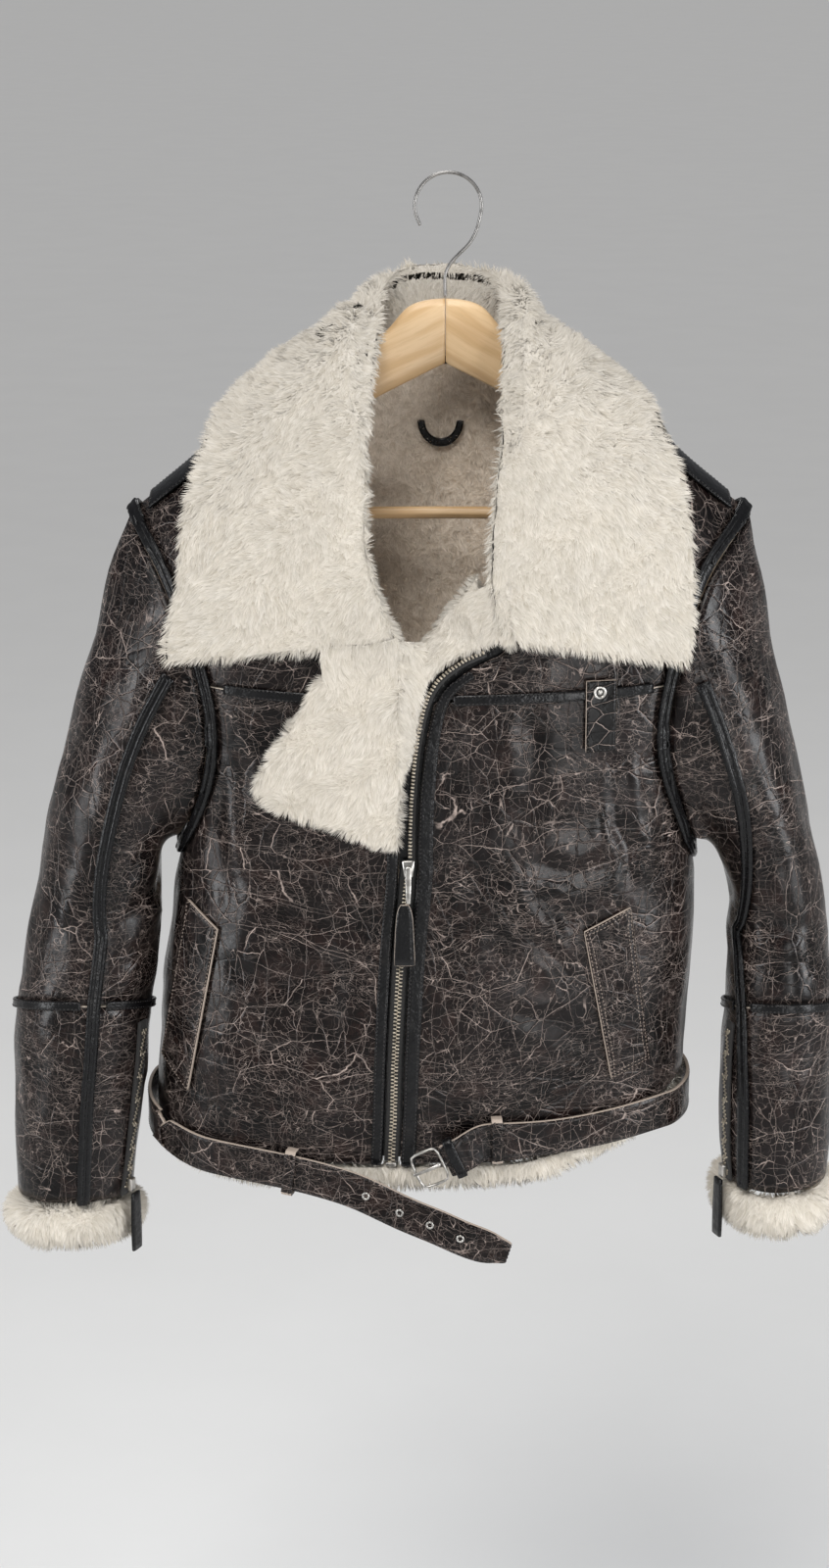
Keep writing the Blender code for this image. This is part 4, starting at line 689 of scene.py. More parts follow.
THIRDS = (0.0, 2 * math.pi / 3, 4 * math.pi / 3)
SPIKE = ((0, 1, 3), (1, 2, 3), (2, 0, 3))  # three feet and the tip
LIGHT_TILT = (0.0, -0.20, 0.35)  # added to the hairs' shading normals, so that they look soft


def fur_locks(name, places, normals, length, width, comb, material, seed, per_clump=7, swirl_size=0.04):
    """One mesh of short three-sided spikes, gathered into tufts and combed one way."""
    rng = np.random.default_rng(seed)
    count = len(places)
    clumps = rng.choice(count, max(count // per_clump, 1), replace=False)
    tree = KDTree(len(clumps))
    for index, clump in enumerate(clumps):
        tree.insert(places[clump], index)
    tree.balance()
    owner = clumps[[tree.find(place)[1] for place in places]]
    flow = comb + swirl(places, swirl_size, seed) * 0.55 + swirl(places, swirl_size / 3, seed + 1) * 0.30
    flow = flow - normals * np.einsum("ij,ij->i", flow, normals)[:, None]
    tuft_length = length * (0.75 + 0.5 * rng.random(count))
    ahead = units(normals + flow + rng.normal(size=(count, 3)) * 0.16)
    tuft_tip = places + ahead * length
    tips = places + ahead * tuft_length[:, None]
    pull = (0.15 + 0.35 * rng.random(count))[:, None]
    tips = tips + (tuft_tip[owner] - tips) * pull
    reach = np.linalg.norm(tips - places, axis=1)
    far = reach > tuft_length * 1.25
    tips[far] = places[far] + units(tips[far] - places[far]) * (tuft_length[far] * 1.25)[:, None]
    run = units(tips - places)
    aside = units(np.cross(run, rng.normal(size=(count, 3))))
    across = np.cross(run, aside)
    radius = (width * (0.6 + 0.8 * rng.random(count)) * 0.56)[:, None]
    foot = [places + (aside * math.cos(turn) + across * math.sin(turn)) * radius for turn in THIRDS]
    points = np.stack([*foot, tips], axis=1)
    base = np.arange(count)[:, None, None] * 4
    faces = (np.array(SPIKE)[None] + base).reshape(-1, 3)
    mesh = mesh_of_triangles(name, points.reshape(-1, 3), faces)
    tone = 0.55 + 0.16 * rng.normal(size=count) + 0.22 * rng.normal(size=count)[owner]
    store(mesh, "along", np.tile([0.0, 0.0, 0.0, 1.0], count))
    store(mesh, "tone", np.repeat(np.clip(tone, 0, 1), 4))
    obj = object_from(name, mesh, (material,))
    shading = units(normals + run * 0.25 + np.array(LIGHT_TILT) + rng.normal(size=(count, 3)) * 0.20)
    mesh.normals_split_custom_set_from_vertices(np.repeat(shading, 4, axis=0))
    obj.visible_shadow = False
    return obj


def mesh_of_triangles(name, points, faces):
    mesh = bpy.data.meshes.new(name)
    mesh.vertices.add(len(points))
    mesh.vertices.foreach_set("co", points.astype(np.float32).ravel())
    mesh.loops.add(len(faces) * 3)
    mesh.loops.foreach_set("vertex_index", faces.astype(np.int32).ravel())
    mesh.polygons.add(len(faces))
    mesh.polygons.foreach_set("loop_start", np.arange(0, len(faces) * 3, 3, dtype=np.int32))
    mesh.update(calc_edges=True)
    return mesh


def store(mesh, name, values):
    attribute = mesh.attributes.new(name, "FLOAT", "POINT")
    attribute.data.foreach_set("value", np.asarray(values, np.float32))


def store_normals(mesh, normals):
    """The normals that the ground of the fur uses, whichever side of it is seen."""
    attribute = mesh.attributes.new("pile", "FLOAT_VECTOR", "POINT")
    attribute.data.foreach_set("vector", np.asarray(normals, np.float32).ravel())


DOWN = np.array([0.0, 0.0, -1.0])
# How far in the ground lies under the hairs of each fur, in mm.
FUR_SINK = dict(zip(FURS, (5.0, 4.5, 3.0, 4.5, 4.5, 3.0)))
COLLAR_ROLL = -0.125  # above this height all of the collar is furry
# Ways to look at a face, to tell whether it shows.
LOOKS = [
    Vector((math.cos(turn) * math.cos(tilt), math.sin(turn) * math.cos(tilt), math.sin(tilt)))
    for tilt in (-0.15, 0.25, 0.7, 1.2)
    for turn in np.arange(0, 2 * math.pi, math.pi / 8)
]
COVER = 0.024  # cloth that is nearer than this lies over a face
FEW = 0.06  # a hidden face can be seen from this share of the ways at most


def hidden(tree, face):
    """Whether other cloth lies close over a face and hides it from nearly all sides."""
    if face.calc_center_median().z > COLLAR_ROLL:
        return False
    start = face.calc_center_median() + face.normal * 0.8 * MM
    if tree.ray_cast(start, face.normal, COVER)[0] is None:
        return False
    facing = [way for way in LOOKS if way.dot(face.normal) > 0.15]
    open_ways = sum(tree.ray_cast(start, way, 1.0)[0] is None for way in facing)
    return open_ways <= FEW * len(facing)


def sunk(piece, most):
    """How far each point may go in before the piece gets too thin there."""
    points, normals = points_of(piece)
    tree = tree_from(piece)
    depths = np.empty(len(points))
    for k, (point, normal) in enumerate(zip(points, normals)):
        normal = Vector(normal)
        hit = tree.ray_cast(Vector(point) - normal * 0.4 * MM, -normal, 0.04)
        depths[k] = 0.04 if hit[0] is None else hit[3]
    return np.minimum(most, np.maximum(depths * 0.5 - 0.4 * MM, 0.3 * MM))


def make_furs():
    loose = ("hanger", "cuff_pull", "belt", "buckle", "zip_", "eyelet")
    around = tree_of([node for node in NODES if not node.startswith(loose)])
    for node in FURS:
        bm = joined(node)
        if node in ("collar", "lapel"):
            flags = {face: hidden(around, face) for face in bm.faces}
            for face in bm.faces:
                near = {other for edge in face.edges for other in edge.link_faces} - {face}
                face.material_index = 1 if flags[face] and sum(flags[other] for other in near) > 2 else 0
        piece = refined(node + "_look", bm, 2, (GROUND, BLACK), crease=0.35)
        points, normals = points_of(piece)
        corners, owners = triangles_of(piece)
        furry = np.zeros(len(points))
        np.add.at(furry, corners.ravel(), np.repeat(owners == 0, 3))
        total = np.zeros(len(points))
        np.add.at(total, corners.ravel(), 1)
        even_normals[node] = normals
        store_normals(piece.data, normals)
        sink = sunk(piece, FUR_SINK[node] * MM) * np.clip(furry / np.maximum(total, 1), 0, 1)
        lumps = swirl(points, 0.045, 11)[:, 0] * 0.7 * MM + swirl(points, 0.016, 12)[:, 1] * 0.4 * MM
        set_points(piece, points - normals * (sink + lumps * (sink > 2 * MM))[:, None])
        in_place_of(node, piece)


def furry_only(centres, owners):
    return owners == 0


def add_strands(node, *about, **settings):
    """One object of hairs on this node."""
    fur = fur_locks(*about, **settings)
    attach(fur, "coat")
    furs.setdefault(node, []).append(fur)


def add_fur(node, count, length, width, comb, seed, cuts):
    """Strands on a fur piece, as one object for each stretch of x between the cuts."""
    count, length, width = int(count * THIN), length * MM, width * MM
    rng = np.random.default_rng(seed)
    places, normals = scattered(pieces[node], count, rng, furry_only, even_normals.get(node))
    direction = comb(places) if callable(comb) else np.tile(comb, (count, 1))
    stretch = np.searchsorted(cuts, places[:, 0]) if len(cuts) else np.zeros(count, int)
    for number in range(len(cuts) + 1):
        here = stretch == number
        name = node + "_fur" + (f"_{number + 1}" if len(cuts) else "")
        add_strands(node, name, places[here], normals[here], length, width, direction[here], FUR, seed)


furs = {}
even_normals = {}  # the normals of each fur piece before its surface is sunk


def collar_comb(places):
    """The pile of the collar lies outwards and down, away from the roll."""
    outwards = np.sign(places[:, 0] + 0.006) * smooth_step(np.abs(places[:, 0] + 0.006), 0.0, 0.06)
    return np.stack([0.45 * outwards, np.zeros(len(places)), np.full(len(places), -0.9)], axis=1)


def outwards_from(x, y, down):
    """A comb that runs away from the upright line at x and y, and down."""

    def comb(places):
        away = places[:, :2] - np.array([x, y])
        away = away / np.maximum(np.linalg.norm(away, axis=1), 1e-6)[:, None]
        return np.concatenate([away * 0.5, np.full((len(places), 1), -down)], axis=1)

    return comb


# Fur between two furs that meet: its name, then the two lines of x and z in mm that it joins.
BRIDGES = (
    ("lapel_join", ((-98, -341), (-62, -338), (-46, -334), (-38, -331)),
     ((-96, -372), (-62, -364), (-44, -360), (-38, -357))),
    ("crease_join", ((-45, -334), (-39, -349), (-38, -372), (-39, -407), (-40, -442)),
     ((-22, -338), (-19, -350), (-19, -372), (-25, -407), (-28, -430))),
    ("facing_join", ((13, -304), (16, -315), (20, -328), (24, -340)),
     ((46, -286), (46, -304), (47, -320), (50, -336))),
)
BRIDGE_ROWS, BRIDGE_COLUMNS = 7, 16


def make_bridges():
    tree = tree_of(["collar", "lapel", "front_facing"])
    for name, first, second in BRIDGES:
        rows = []
        for line in (first, second):
            places, _ = open_row(line, 4.0)
            row = []
            for x, z in places:
                hit, _ = from_front(tree, x, z)
                y = hit.y if hit is not None else (row[-1][1] if row else None)
                if y is not None:
                    row.append((x * MM, y, z * MM))
            rows.append(spread(np.array(row), lambda total: np.linspace(0, total, BRIDGE_COLUMNS)))
        grid = [rows[0] * (1 - share) + rows[1] * share for share in np.linspace(0, 1, BRIDGE_ROWS)]
        points = np.concatenate(grid) + np.array([0, 2.5 * MM, 0])
        patch = built(name, points.tolist(), quads(BRIDGE_ROWS, BRIDGE_COLUMNS), (GROUND,))
        if np.mean([polygon.normal.y for polygon in patch.data.polygons]) > 0:
            patch.data.flip_normals()
        store_normals(patch.data, points_of(patch)[1])
        on_coat(name, patch)
        add_fur(name, *HAIRS["bridge"])


def spread(points, places_at):
    """Places along an open row, at the distances that places_at gives for its whole length."""
    length = np.concatenate([[0], np.cumsum(np.linalg.norm(np.diff(points, axis=0), axis=1))])
    at = places_at(length[-1])
    return np.stack([np.interp(at, length, points[:, axis]) for axis in range(points.shape[1])], axis=1)


THIN = 1.0  # the share of the hairs that is made

# Hairs: how many, their length and width in mm, comb, seed, and where in x they are cut into objects.
HAIRS = {
    "collar": (100000, 8.5, 0.92, collar_comb, 21, (-0.07, 0.055)),
    "lapel": (16000, 8.0, 0.85, np.array([-0.5, 0, -0.7]), 22, ()),
    "front_facing": (8000, 6.5, 0.85, np.array([-0.3, 0, -0.9]), 23, ()),
    "cuff_fur_left": (13000, 9.0, 1.05, outwards_from(-0.31, -0.04, 0.9), 24, ()),
    "cuff_fur_right": (13000, 9.0, 1.05, outwards_from(0.274, -0.04, 0.9), 25, ()),
    "hem_fur": (19000, 8.5, 1.05, outwards_from(-0.022, -0.02, 1.2), 26, ()),
    "bridge": (2600, 8.0, 0.85, DOWN * 0.9, 27, ()),
}
LINING_HAIRS = {"back_left": 11000, "back_right": 11000, "yoke_left": 3000, "yoke_right": 3000}


def make_locks():
    for node in FURS:
        add_fur(node, *HAIRS[node])
    make_bridges()
    make_lining_locks()


def make_lining_locks():
    """Short curly pile on the lining that shows inside the neck."""

    def seen(centres, owners):
        near = (centres[:, 2] > -0.46) & (np.abs(centres[:, 0] + 0.006) < 0.13)
        return (owners == 1) & near

    for node, count in LINING_HAIRS.items():
        rng = np.random.default_rng(31)
        places, normals = scattered(pieces[node], int(count * THIN), rng, seen)
        direction = np.tile(DOWN * 0.5, (len(places), 1))
        add_strands(
            node, node + "_pile", places, normals, 5.5 * MM, 0.9 * MM, direction, LINING_STRANDS, 32,
            per_clump=8, swirl_size=0.012,
        )


# ---------------------------------------------------------------- trims, hardware, hanger


# How plain pieces are smoothed: nodes, material, levels, from how many degrees an edge is sharp, how tight.
DRESSES = (
    (TRIMS, BLACK, 2, 40, 0.55),
    (TAPES, TAPE, 1, 40, 0.9),
    (POCKETS, BROWN, 2, 40, 0.8),
    (("chest_tab",), TAB_LEATHER, 2, 40, 0.8),
    (BELT, BROWN, 2, 40, 0.8),
    (("hanger_arm_left",), LEFT_WOOD, 2, 35, 0.85),
    (("hanger_arm_right",), RIGHT_WOOD, 2, 35, 0.85),
    (("hanger_bar",), BAR_WOOD, 2, 35, 0.85),
    (("hanger_hook",), STEEL, 2, 80, 0.3),
    (("buckle_frame", "buckle_prong"), NICKEL, 1, 80, 0.5),
    (("zip_slider", "zip_link", "zip_stop", *both("cuff_slider")), NICKEL, 2, 40, 0.7),
    (("eyelet_1", "eyelet_2", "eyelet_3", "eyelet_4"), NICKEL, 1, 80, 0.5),
)


def make_trims():
    for nodes, *about in DRESSES:
        for node in nodes:
            dressed(node, *about)


def on_panel(face):
    """Whether a face looks the way that the panel under it does."""
    return face.normal.dot(PANEL_TREE.find_nearest(face.calc_center_median())[1]) > 0.6


def on_belt(face):
    """Whether a face of the belt looks away from the body."""
    centre = face.calc_center_median()
    away = Vector((centre.x + 0.02, centre.y + 0.02, 0)).normalized()
    return abs(face.normal.z) < 0.6 and face.normal.dot(away) > 0.3


def rims(node, looks_out):
    """The closed rims of a strip's outer side: for each, its points and the ways in from them."""
    bm = joined(node)
    bm.faces.index_update()
    out = [looks_out(face) for face in bm.faces]
    links = {}
    for edge in bm.edges:
        sides = [out[face.index] for face in edge.link_faces]
        if len(sides) == 2 and sides[0] != sides[1]:
            first, second = edge.verts
            links.setdefault(first, []).append(second)
            links.setdefault(second, []).append(first)
    found, left = [], dict.fromkeys(links)
    while left:
        here = next(iter(left))
        ring = []
        while here is not None:
            left.pop(here)
            ring.append(here)
            here = next((vertex for vertex in links[here] if vertex in left), None)
        if len(ring) > 3:
            points = np.array([vertex.co for vertex in ring])
            tangent = units(np.roll(points, -1, axis=0) - np.roll(points, 1, axis=0))
            inward = []
            for vertex in ring:
                ways = (f.calc_center_median() - vertex.co for f in vertex.link_faces if out[f.index])
                inward.append(sum(ways, Vector()))
            inward = np.array(inward)
            inward = inward - tangent * np.einsum("ij,ij->i", inward, tangent)[:, None]
            found.append((points, units(inward)))
    bm.free()
    return found


def evenly(points, pitch):
    """Places at this spacing along a closed row, and the way ahead at each."""
    closed = np.concatenate([points, points[:1]])
    places = spread(closed, lambda total: np.arange(0, total - pitch / 2, pitch))
    return places, units(np.roll(places, -1, axis=0) - np.roll(places, 1, axis=0))


class Bits:
    """Many small closed solids gathered into one mesh."""

    def __init__(self):
        self.points, self.faces = [], []

    def add(self, points, faces):
        base = len(self.points)
        self.points += [tuple(point) for point in points]
        self.faces += [tuple(base + k for k in face) for face in faces]

    def stitch(self, place, ahead, normal, length, half):
        """A pointed grain of this length and half width, which lies along the way ahead."""
        aside = np.cross(ahead, normal)
        ends = (place - ahead * length / 2, place + ahead * length / 2)
        top, low = place + normal * half * 1.1, place - normal * half * 0.6
        points = (ends[0], ends[1], place + aside * half, place - aside * half, top, low)
        faces = ((0, 4, 2), (2, 4, 1), (1, 4, 3), (3, 4, 0), (0, 2, 5), (2, 1, 5), (1, 3, 5), (3, 0, 5))
        self.add(points, faces)

    def tooth(self, place, ahead, normal, wide, tall, deep):
        """A small block with a narrower face."""
        aside = np.cross(ahead, normal)
        points = []
        for rise, share in ((-0.2 * deep, 1.0), (0.65 * deep, 1.0), (deep, 0.55)):
            for x, z in ((-1, -1), (1, -1), (1, 1), (-1, 1)):
                points.append(place + aside * x * wide * share + ahead * z * tall * share + normal * rise)
        self.add(points, [(3, 2, 1, 0), (8, 9, 10, 11), *quads(3, 4, closed=True)])

    def tube(self, places, normals, radius, flat=0.6, sides=8):
        """A closed ring of cord that follows these places."""
        count = len(places)
        ahead = units(np.roll(places, -1, axis=0) - np.roll(places, 1, axis=0))
        aside = units(np.cross(ahead, normals))
        points = []
        for k in range(count):
            for j in range(sides):
                turn = 2 * math.pi * j / sides
                points.append(places[k] + aside[k] * math.cos(turn) * radius
                              + normals[k] * math.sin(turn) * radius * flat)
        faces = []
        for k in range(count):
            n = (k + 1) % count
            for j in range(sides):
                i = (j + 1) % sides
                faces.append((k * sides + j, k * sides + i, n * sides + i, n * sides + j))
        self.add(points, faces)

    def finish(self, name, material, slot):
        mesh = bpy.data.meshes.new(name)
        mesh.from_pydata(self.points, [], self.faces)
        bm = bmesh.new()
        bm.from_mesh(mesh)
        bmesh.ops.recalc_face_normals(bm, faces=bm.faces)
        bm.to_mesh(mesh)
        bm.free()
        on_coat(name, object_from(name, mesh, (material,)))


# Rows of stitches: the piece, insets from its rim in mm, and whether the thread is pale.
STITCHED = (
    ("pocket_left", (1.8,), True), ("pocket_right", (1.8, 5.0), True), ("chest_tab", (1.8,), False),
    ("belt", (2.2,), False), ("belt_loop_left", (1.6,), False), ("belt_loop_right", (1.6,), False),
    ("shoulder_band_left", (1.8,), False), ("shoulder_band_right", (1.8,), False),
    ("yoke_binding_left", (1.2,), False), ("yoke_binding_right", (1.2,), False),
    ("front_binding_left", (1.3,), False), ("front_binding_right", (1.5,), False),
    ("elbow_strip_left", (1.2,), False), ("elbow_strip_right", (1.2,), False),
)
# Rounded cords side by side on the double bindings: the piece, inset and radius in mm.
CORDED = (
    ("armhole_binding_left", 2.8, 2.5), ("armhole_binding_right", 2.8, 2.5),
    ("sleeve_strip_left", 2.6, 2.3), ("sleeve_strip_right", 2.6, 2.3),
)


def row_on(tree, row, pitch):
    """(place, way ahead, normal) along a row, laid on a piece's surface."""
    places, ahead = evenly(row, pitch)
    for place, way in zip(places, ahead):
        spot, normal, _, far = tree.find_nearest(Vector(place))
        if spot is not None and far < 4 * MM:
            normal = np.array(normal)
            way = way - normal * (way @ normal)
            yield np.array(spot), way / max(np.linalg.norm(way), 1e-9), normal


def make_stitching():
    dark, light = Bits(), Bits()
    for node, insets, pale in STITCHED:
        tree = tree_from(pieces[node])
        looks_out = on_belt if node.startswith("belt") else on_panel
        for points, inward in rims(node, looks_out):
            for inset in insets:
                for place, way, normal in row_on(tree, points + inward * inset * MM, 3.3 * MM):
                    (light if pale else dark).stitch(place, way, normal, 2.6 * MM, 0.5 * MM)
    dark.finish("stitches", THREAD, "black_leather")
    light.finish("pocket_stitches", PALE_THREAD, "brown_leather")
    cords = Bits()
    for node, inset, radius in CORDED:
        tree = tree_from(pieces[node])
        for points, inward in rims(node, on_panel):
            row = list(row_on(tree, points + inward * inset * MM, 5.0 * MM))
            if len(row) > 3:
                places, _, normals = (np.array(part) for part in zip(*row))
                cords.tube(places - normals * 0.4 * MM, normals, radius * MM)
    cords.finish("binding_cords", BLACK, "black_leather")


# The zip's middle, x and z in mm from the hem to the collar, and the slider's height.
ZIP_LINE = (
    (-45, -774), (-43, -735), (-42, -692), (-40, -649), (-38, -609), (-35, -570), (-31, -529), (-31, -493),
    (-30, -467), (-28, -440), (-25, -416), (-21, -396), (-17, -383), (-10, -371), (0, -362), (12, -354),
    (26, -348), (41, -343),
)
SLIDER_Z = -523.0


def open_row(points, pitch):
    """Places and ways ahead at this spacing along an open row of x and z."""
    places = spread(np.array(points, float), lambda total: np.arange(0, total, pitch))
    return places, units(np.gradient(places, axis=0))


def make_teeth():
    teeth = Bits()
    tape = tree_of(["zip_tape_left", "zip_tape_right"])

    def add(x, z, ahead, wide, tall):
        place, normal = from_front(tape, x, z)
        if place is not None:
            normal = np.array(normal)
            way = np.array([ahead[0], 0, ahead[1]])
            way = way - normal * (way @ normal)
            teeth.tooth(np.array(place), way / np.linalg.norm(way), normal, wide * MM, tall * MM, 1.5 * MM)

    places, ahead = open_row(ZIP_LINE, 1.55)
    for number, ((x, z), way) in enumerate(zip(places, ahead)):
        side = 1 if number % 2 else -1
        if z < SLIDER_Z - 5:
            add(x + way[1] * side * 1.3, z - way[0] * side * 1.3, way, 1.5, 0.62)
    places, ahead = open_row(ZIP_LINE, 3.0)
    for (x, z), way in zip(places, ahead):
        if z > SLIDER_Z + 7:
            add(x + way[1] * 1.5, z - way[0] * 1.5, way, 1.5, 0.8)
    teeth.finish("zip_teeth", BRONZE, "nickel")
    small = Bits()
    for node in ("cuff_zip_left", "cuff_zip_right"):
        bm = joined(node)
        spots = sorted((f.calc_center_median() for f in bm.faces if on_panel(f)), key=lambda spot: spot.z)
        bm.free()
        tree = tree_from(pieces[node])
        places, ahead = open_row(spots, 1.6 * MM)
        for number, (place, way) in enumerate(zip(places, ahead)):
            spot, normal, _, _ = tree.find_nearest(Vector(place))
            normal = np.array(normal)
            aside = np.cross(way, normal) * (1 if number % 2 else -1)
            small.tooth(np.array(spot) + aside * 0.8 * MM, way, normal, 1.2 * MM, 0.6 * MM, 1.1 * MM)
    small.finish("cuff_teeth", BRONZE, "nickel")


# The snap's cap, from its rim to its middle: radius and height in mm. Two of its rings are dark.
SNAP_RINGS = (
    (5.2, -0.8), (5.3, 0.1), (5.0, 0.7), (4.4, 0.95), (3.8, 0.9), (3.3, 0.5), (3.1, 0.0), (2.6, -0.1),
    (2.0, 0.0), (1.6, 0.5), (1.0, 0.75), (0.3, 0.8),
)
SNAP_DARK = (6, 7)
SNAP_SIDES = 28


def make_snap():
    """The snap's cap: a rolled rim round a sunk dark middle with a small dome."""
    low, high = (Vector(corner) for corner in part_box("chest_snap"))
    centre = (low + high) / 2
    out = PANEL_TREE.find_nearest(centre)[1]
    side = out.cross(Vector((0, 0, 1))).normalized()
    up = side.cross(out)
    points = []
    for radius, rise in SNAP_RINGS:
        for k in range(SNAP_SIDES):
            turn = 2 * math.pi * k / SNAP_SIDES
            across = (side * math.cos(turn) + up * math.sin(turn)) * radius * MM
            points.append(centre + across + out * rise * MM)
    faces = quads(len(SNAP_RINGS), SNAP_SIDES, closed=True, turned=True)
    faces.append(tuple(range(SNAP_SIDES)))
    faces.append(tuple(range(len(points) - 1, len(points) - SNAP_SIDES - 1, -1)))
    snap = built("snap_cap", points, faces, (NICKEL, BLACK))
    for number, polygon in enumerate(snap.data.polygons):
        polygon.material_index = 1 if number // SNAP_SIDES in SNAP_DARK else 0
    in_place_of("chest_snap", snap)


GUARD_COLUMNS = (-7.2, 0.0, 7.2, 16.0)  # mm beside the zip's middle


def make_zip_guard():
    """The dark flap behind the zip, which goes on under the collar."""
    tape = tree_of(["zip_tape_left", "zip_tape_right"])
    points = []
    places, ahead = open_row((*ZIP_LINE, (54, -339), (66, -336)), 6.0)
    y = None
    for (x, z), way in zip(places, ahead):
        place, _ = from_front(tape, x + 2.0, z)
        y = y if place is None else place.y + 3.2 * MM
        if y is not None:
            for side in GUARD_COLUMNS:
                points.append(((x + way[1] * side) * MM, y, (z - way[0] * side) * MM))
    faces = quads(len(points) // len(GUARD_COLUMNS), len(GUARD_COLUMNS))
    on_coat("zip_guard", built("zip_guard", points, faces, (BLACK,)))


SEAM_X = -0.006
SEAM_CORNERS = 8  # points round the seam's section, whose sides 5 and 6 look inwards


def make_back_seam():
    """The centre back seam: leather over it outside, pile over it inside."""
    tree = tree_of(["back_left", "back_right"])
    points = []
    for z in np.linspace(-0.7735, -0.126, 60):
        hits = []
        for y, way in ((0.3, -1), (0.0, 1)):
            starts = [Vector((SEAM_X + dx, y, z)) for dx in (-0.003, 0.003)]
            found = [tree.ray_cast(start, Vector((0, way, 0)), 0.4)[0] for start in starts]
            hits.append(np.mean([hit.y for hit in found if hit is not None] or [np.nan]))
        if np.isnan(hits).any():
            continue
        outer, inner = hits
        for x, y in (
            (-2.6, outer - 0.0006), (-1.9, outer + 0.0007), (0, outer + 0.0001), (1.9, outer + 0.0007),
            (2.6, outer - 0.0006), (2.6, inner + 0.0006), (0, inner - 0.0004), (-2.6, inner + 0.0006),
        ):
            points.append((SEAM_X + x * MM, y, z))
    faces = quads(len(points) // SEAM_CORNERS, SEAM_CORNERS, closed=True, turned=True)
    faces.append(tuple(range(SEAM_CORNERS)))
    faces.append(tuple(range(len(points) - 1, len(points) - SEAM_CORNERS - 1, -1)))
    seam = built("back_seam", points, faces, (BROWN, LINING))
    for number, polygon in enumerate(seam.data.polygons):
        polygon.material_index = 1 if number % SEAM_CORNERS in (5, 6) else 0
    on_coat("back_seam", seam)


# ---------------------------------------------------------------- stage


MIDDLE = (-0.02, -0.05, -0.45)  # what every area light faces
DAYLIGHT = (0.96, 0.98, 1.0)
# Area lights: name, place, width and height, power and colour.
WINDOWS = (
    ("right_window", (1.8, -1.0, -0.3), (0.45, 1.6), 30, DAYLIGHT),
    ("left_window", (-1.8, -0.9, -0.3), (0.45, 1.6), 22, DAYLIGHT),
    ("front_window", (0.85, -2.3, -0.75), (0.45, 1.0), 13, (1, 1, 1)),
    ("back_window", (-0.6, 2.1, 2.2), (1.6, 1.2), 34, (1, 1, 1)),
    ("above", (0.1, -0.5, 1.7), (1.4, 0.7), 12, (1, 1, 1)),
)
ROOM_COLOUR, ROOM_LIGHT = (0.93, 0.95, 1.0, 1), 0.19
SUN_LIGHT, SUN_COLOUR = 1.6, (1.0, 0.985, 0.96)
SUN_TILT, SUN_SIDE, SUN_SPREAD = 38, -14, 24  # degrees


def add_light(name, kind, power, colour):
    light = bpy.data.lights.new(name, kind)
    light.energy = power
    light.color = colour
    obj = bpy.data.objects.new(name, light)
    bpy.context.scene.collection.objects.link(obj)
    return obj


def make_stage():
    scene = bpy.context.scene
    camera = bpy.data.objects.new("camera", bpy.data.cameras.new("camera"))
    scene.collection.objects.link(camera)
    camera.location = CAMERA_PLACE
    camera.rotation_euler = (math.radians(90 - CAMERA_DROP), 0, 0)
    camera.data.sensor_fit = "VERTICAL"
    camera.data.sensor_height = 36
    camera.data.lens = CAMERA_LENS
    camera.data.clip_end = 300
    scene.camera = camera
    corners = [(-60, -60, FLOOR), (60, -60, FLOOR), (60, 90, FLOOR), (-60, 90, FLOOR)]
    floor = built("floor", corners, [(0, 1, 2, 3)], (plain_floor(),))
    world = bpy.data.worlds.new("soft_room")
    scene.world = world
    world.use_nodes = True
    back = world.node_tree.nodes["Background"]
    back.inputs["Color"].default_value = ROOM_COLOUR
    back.inputs["Strength"].default_value = ROOM_LIGHT
    key = add_light("key", "SUN", SUN_LIGHT, SUN_COLOUR)
    key.data.angle = math.radians(SUN_SPREAD)
    key.rotation_euler = (math.radians(SUN_TILT), math.radians(SUN_SIDE), 0)
    for name, place, size, power, colour in WINDOWS:
        window = add_light(name, "AREA", power, colour)
        window.data.shape = "RECTANGLE"
        window.data.size, window.data.size_y = size
        window.location = place
        window.rotation_euler = (Vector(MIDDLE) - Vector(place)).to_track_quat("-Z", "Y").to_euler()
    scene.view_settings.view_transform = "Standard"
    scene.view_settings.look = "None"


# ---------------------------------------------------------------- cloth facts


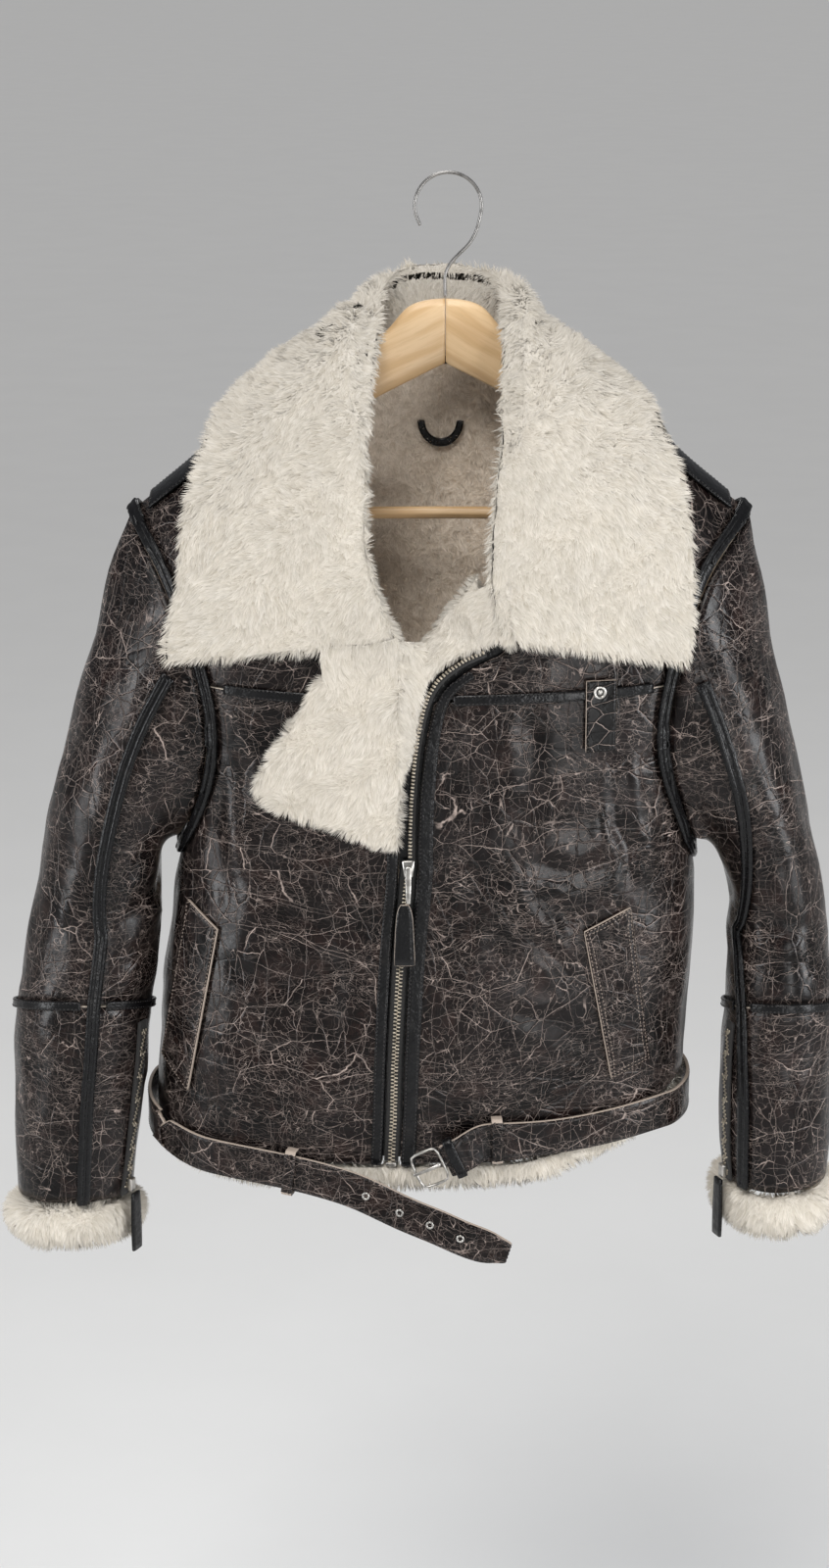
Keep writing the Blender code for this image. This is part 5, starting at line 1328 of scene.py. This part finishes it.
# The cut of each cloth piece: width, length and area in metres, how it is held, and what it lies on.
CUTS = {
    "front_left": (0.235, 0.42, 0.086, "hung", ("yoke_left", "back_left")),
    "front_right": (0.275, 0.42, 0.0956, "hung", ("yoke_right", "back_right")),
    "yoke_left": (0.24, 0.29, 0.0452, "hung", ("hanger_arm_left",)),
    "yoke_right": (0.27, 0.29, 0.0446, "hung", ("hanger_arm_right",)),
    "back_left": (0.265, 0.67, 0.151, "hung", ("hanger_arm_left",)),
    "back_right": (0.26, 0.67, 0.138, "hung", ("hanger_arm_right",)),
    "sleeve_upper_left": (0.31, 0.46, 0.1064, "hung", ("yoke_left", "back_left")),
    "sleeve_upper_right": (0.30, 0.46, 0.101, "hung", ("yoke_right", "back_right")),
    "sleeve_lower_left": (0.29, 0.20, 0.0524, "hung", ("sleeve_upper_left",)),
    "sleeve_lower_right": (0.27, 0.18, 0.0432, "hung", ("sleeve_upper_right",)),
    "collar": (0.64, 0.30, 0.1436, "hung", ("yoke_left", "yoke_right", "back_left", "back_right")),
    "lapel": (0.115, 0.155, 0.0131, "hung", ("front_left", "yoke_left")),
    "front_facing": (0.05, 0.145, 0.0038, "hung", ("yoke_right", "front_right")),
    "cuff_fur_left": (0.33, 0.045, 0.0107, "hung", ("sleeve_lower_left",)),
    "cuff_fur_right": (0.32, 0.042, 0.0103, "hung", ("sleeve_lower_right",)),
    "hem_fur": (1.14, 0.026, 0.0172, "hung", ("front_left", "front_right", "back_left", "back_right")),
    "armhole_binding_left": (0.014, 0.70, 0.0089, "laid", ("yoke_left", "back_left")),
    "armhole_binding_right": (0.014, 0.71, 0.0091, "laid", ("yoke_right", "back_right")),
    "shoulder_band_left": (0.045, 0.125, 0.0048, "laid", ("yoke_left", "back_left")),
    "shoulder_band_right": (0.045, 0.125, 0.0048, "laid", ("yoke_right", "back_right")),
    "sleeve_strip_left": (0.014, 0.46, 0.0059, "laid", ("sleeve_upper_left", "sleeve_lower_left")),
    "sleeve_strip_right": (0.014, 0.45, 0.0058, "laid", ("sleeve_upper_right", "sleeve_lower_right")),
    "elbow_strip_left": (0.010, 0.33, 0.0030, "laid", ("sleeve_upper_left",)),
    "elbow_strip_right": (0.010, 0.31, 0.0027, "laid", ("sleeve_upper_right",)),
    "front_binding_left": (0.0105, 0.385, 0.0039, "laid", ("front_left",)),
    "front_binding_right": (0.0135, 0.44, 0.0053, "laid", ("front_right", "yoke_right")),
    "yoke_binding_left": (0.0103, 0.105, 0.00104, "laid", ("yoke_left",)),
    "yoke_binding_right": (0.0104, 0.158, 0.00156, "laid", ("yoke_right",)),
    "hang_loop": (0.010, 0.060, 0.00054, "hung", ("back_left", "back_right")),
    "belt_keeper": (0.013, 0.062, 0.00075, "laid", ("belt",)),
    "pocket_left": (0.042, 0.16, 0.0058, "laid", ("front_left",)),
    "pocket_right": (0.043, 0.15, 0.0055, "laid", ("front_right",)),
    "chest_tab": (0.026, 0.063, 0.00154, "laid", ("yoke_right", "front_right")),
    "belt": (0.034, 1.24, 0.0387, "laid", ("belt_loop_left", "belt_loop_right", "back_left", "back_right")),
    "belt_loop_left": (0.014, 0.045, 0.00058, "laid", ("front_left",)),
    "belt_loop_right": (0.014, 0.045, 0.00056, "laid", ("front_right",)),
}
# Pieces without a solid that go with a cloth piece: shapes of its own, then bridges with their hairs.
ON_THEM = {"back_left": ["back_seam"], "front_right": ["zip_guard"]}
FURRED_BY = {"lapel": ["lapel_join", "crease_join"], "front_facing": ["facing_join"]}


def declare_cloth():
    for node, (width, length, area, held, under) in CUTS.items():
        with_it = list(furs.get(node, []))
        for name in ON_THEM.get(node, []):
            with_it.append(pieces[name])
        for name in FURRED_BY.get(node, []):
            with_it += [pieces[name], *furs[name]]
        list(under)


def main():
    make_stage()
    make_panels()
    make_trims()
    make_stitching()
    make_teeth()
    make_snap()
    make_zip_guard()
    make_back_seam()
    make_furs()
    make_locks()
    declare_cloth()


main()
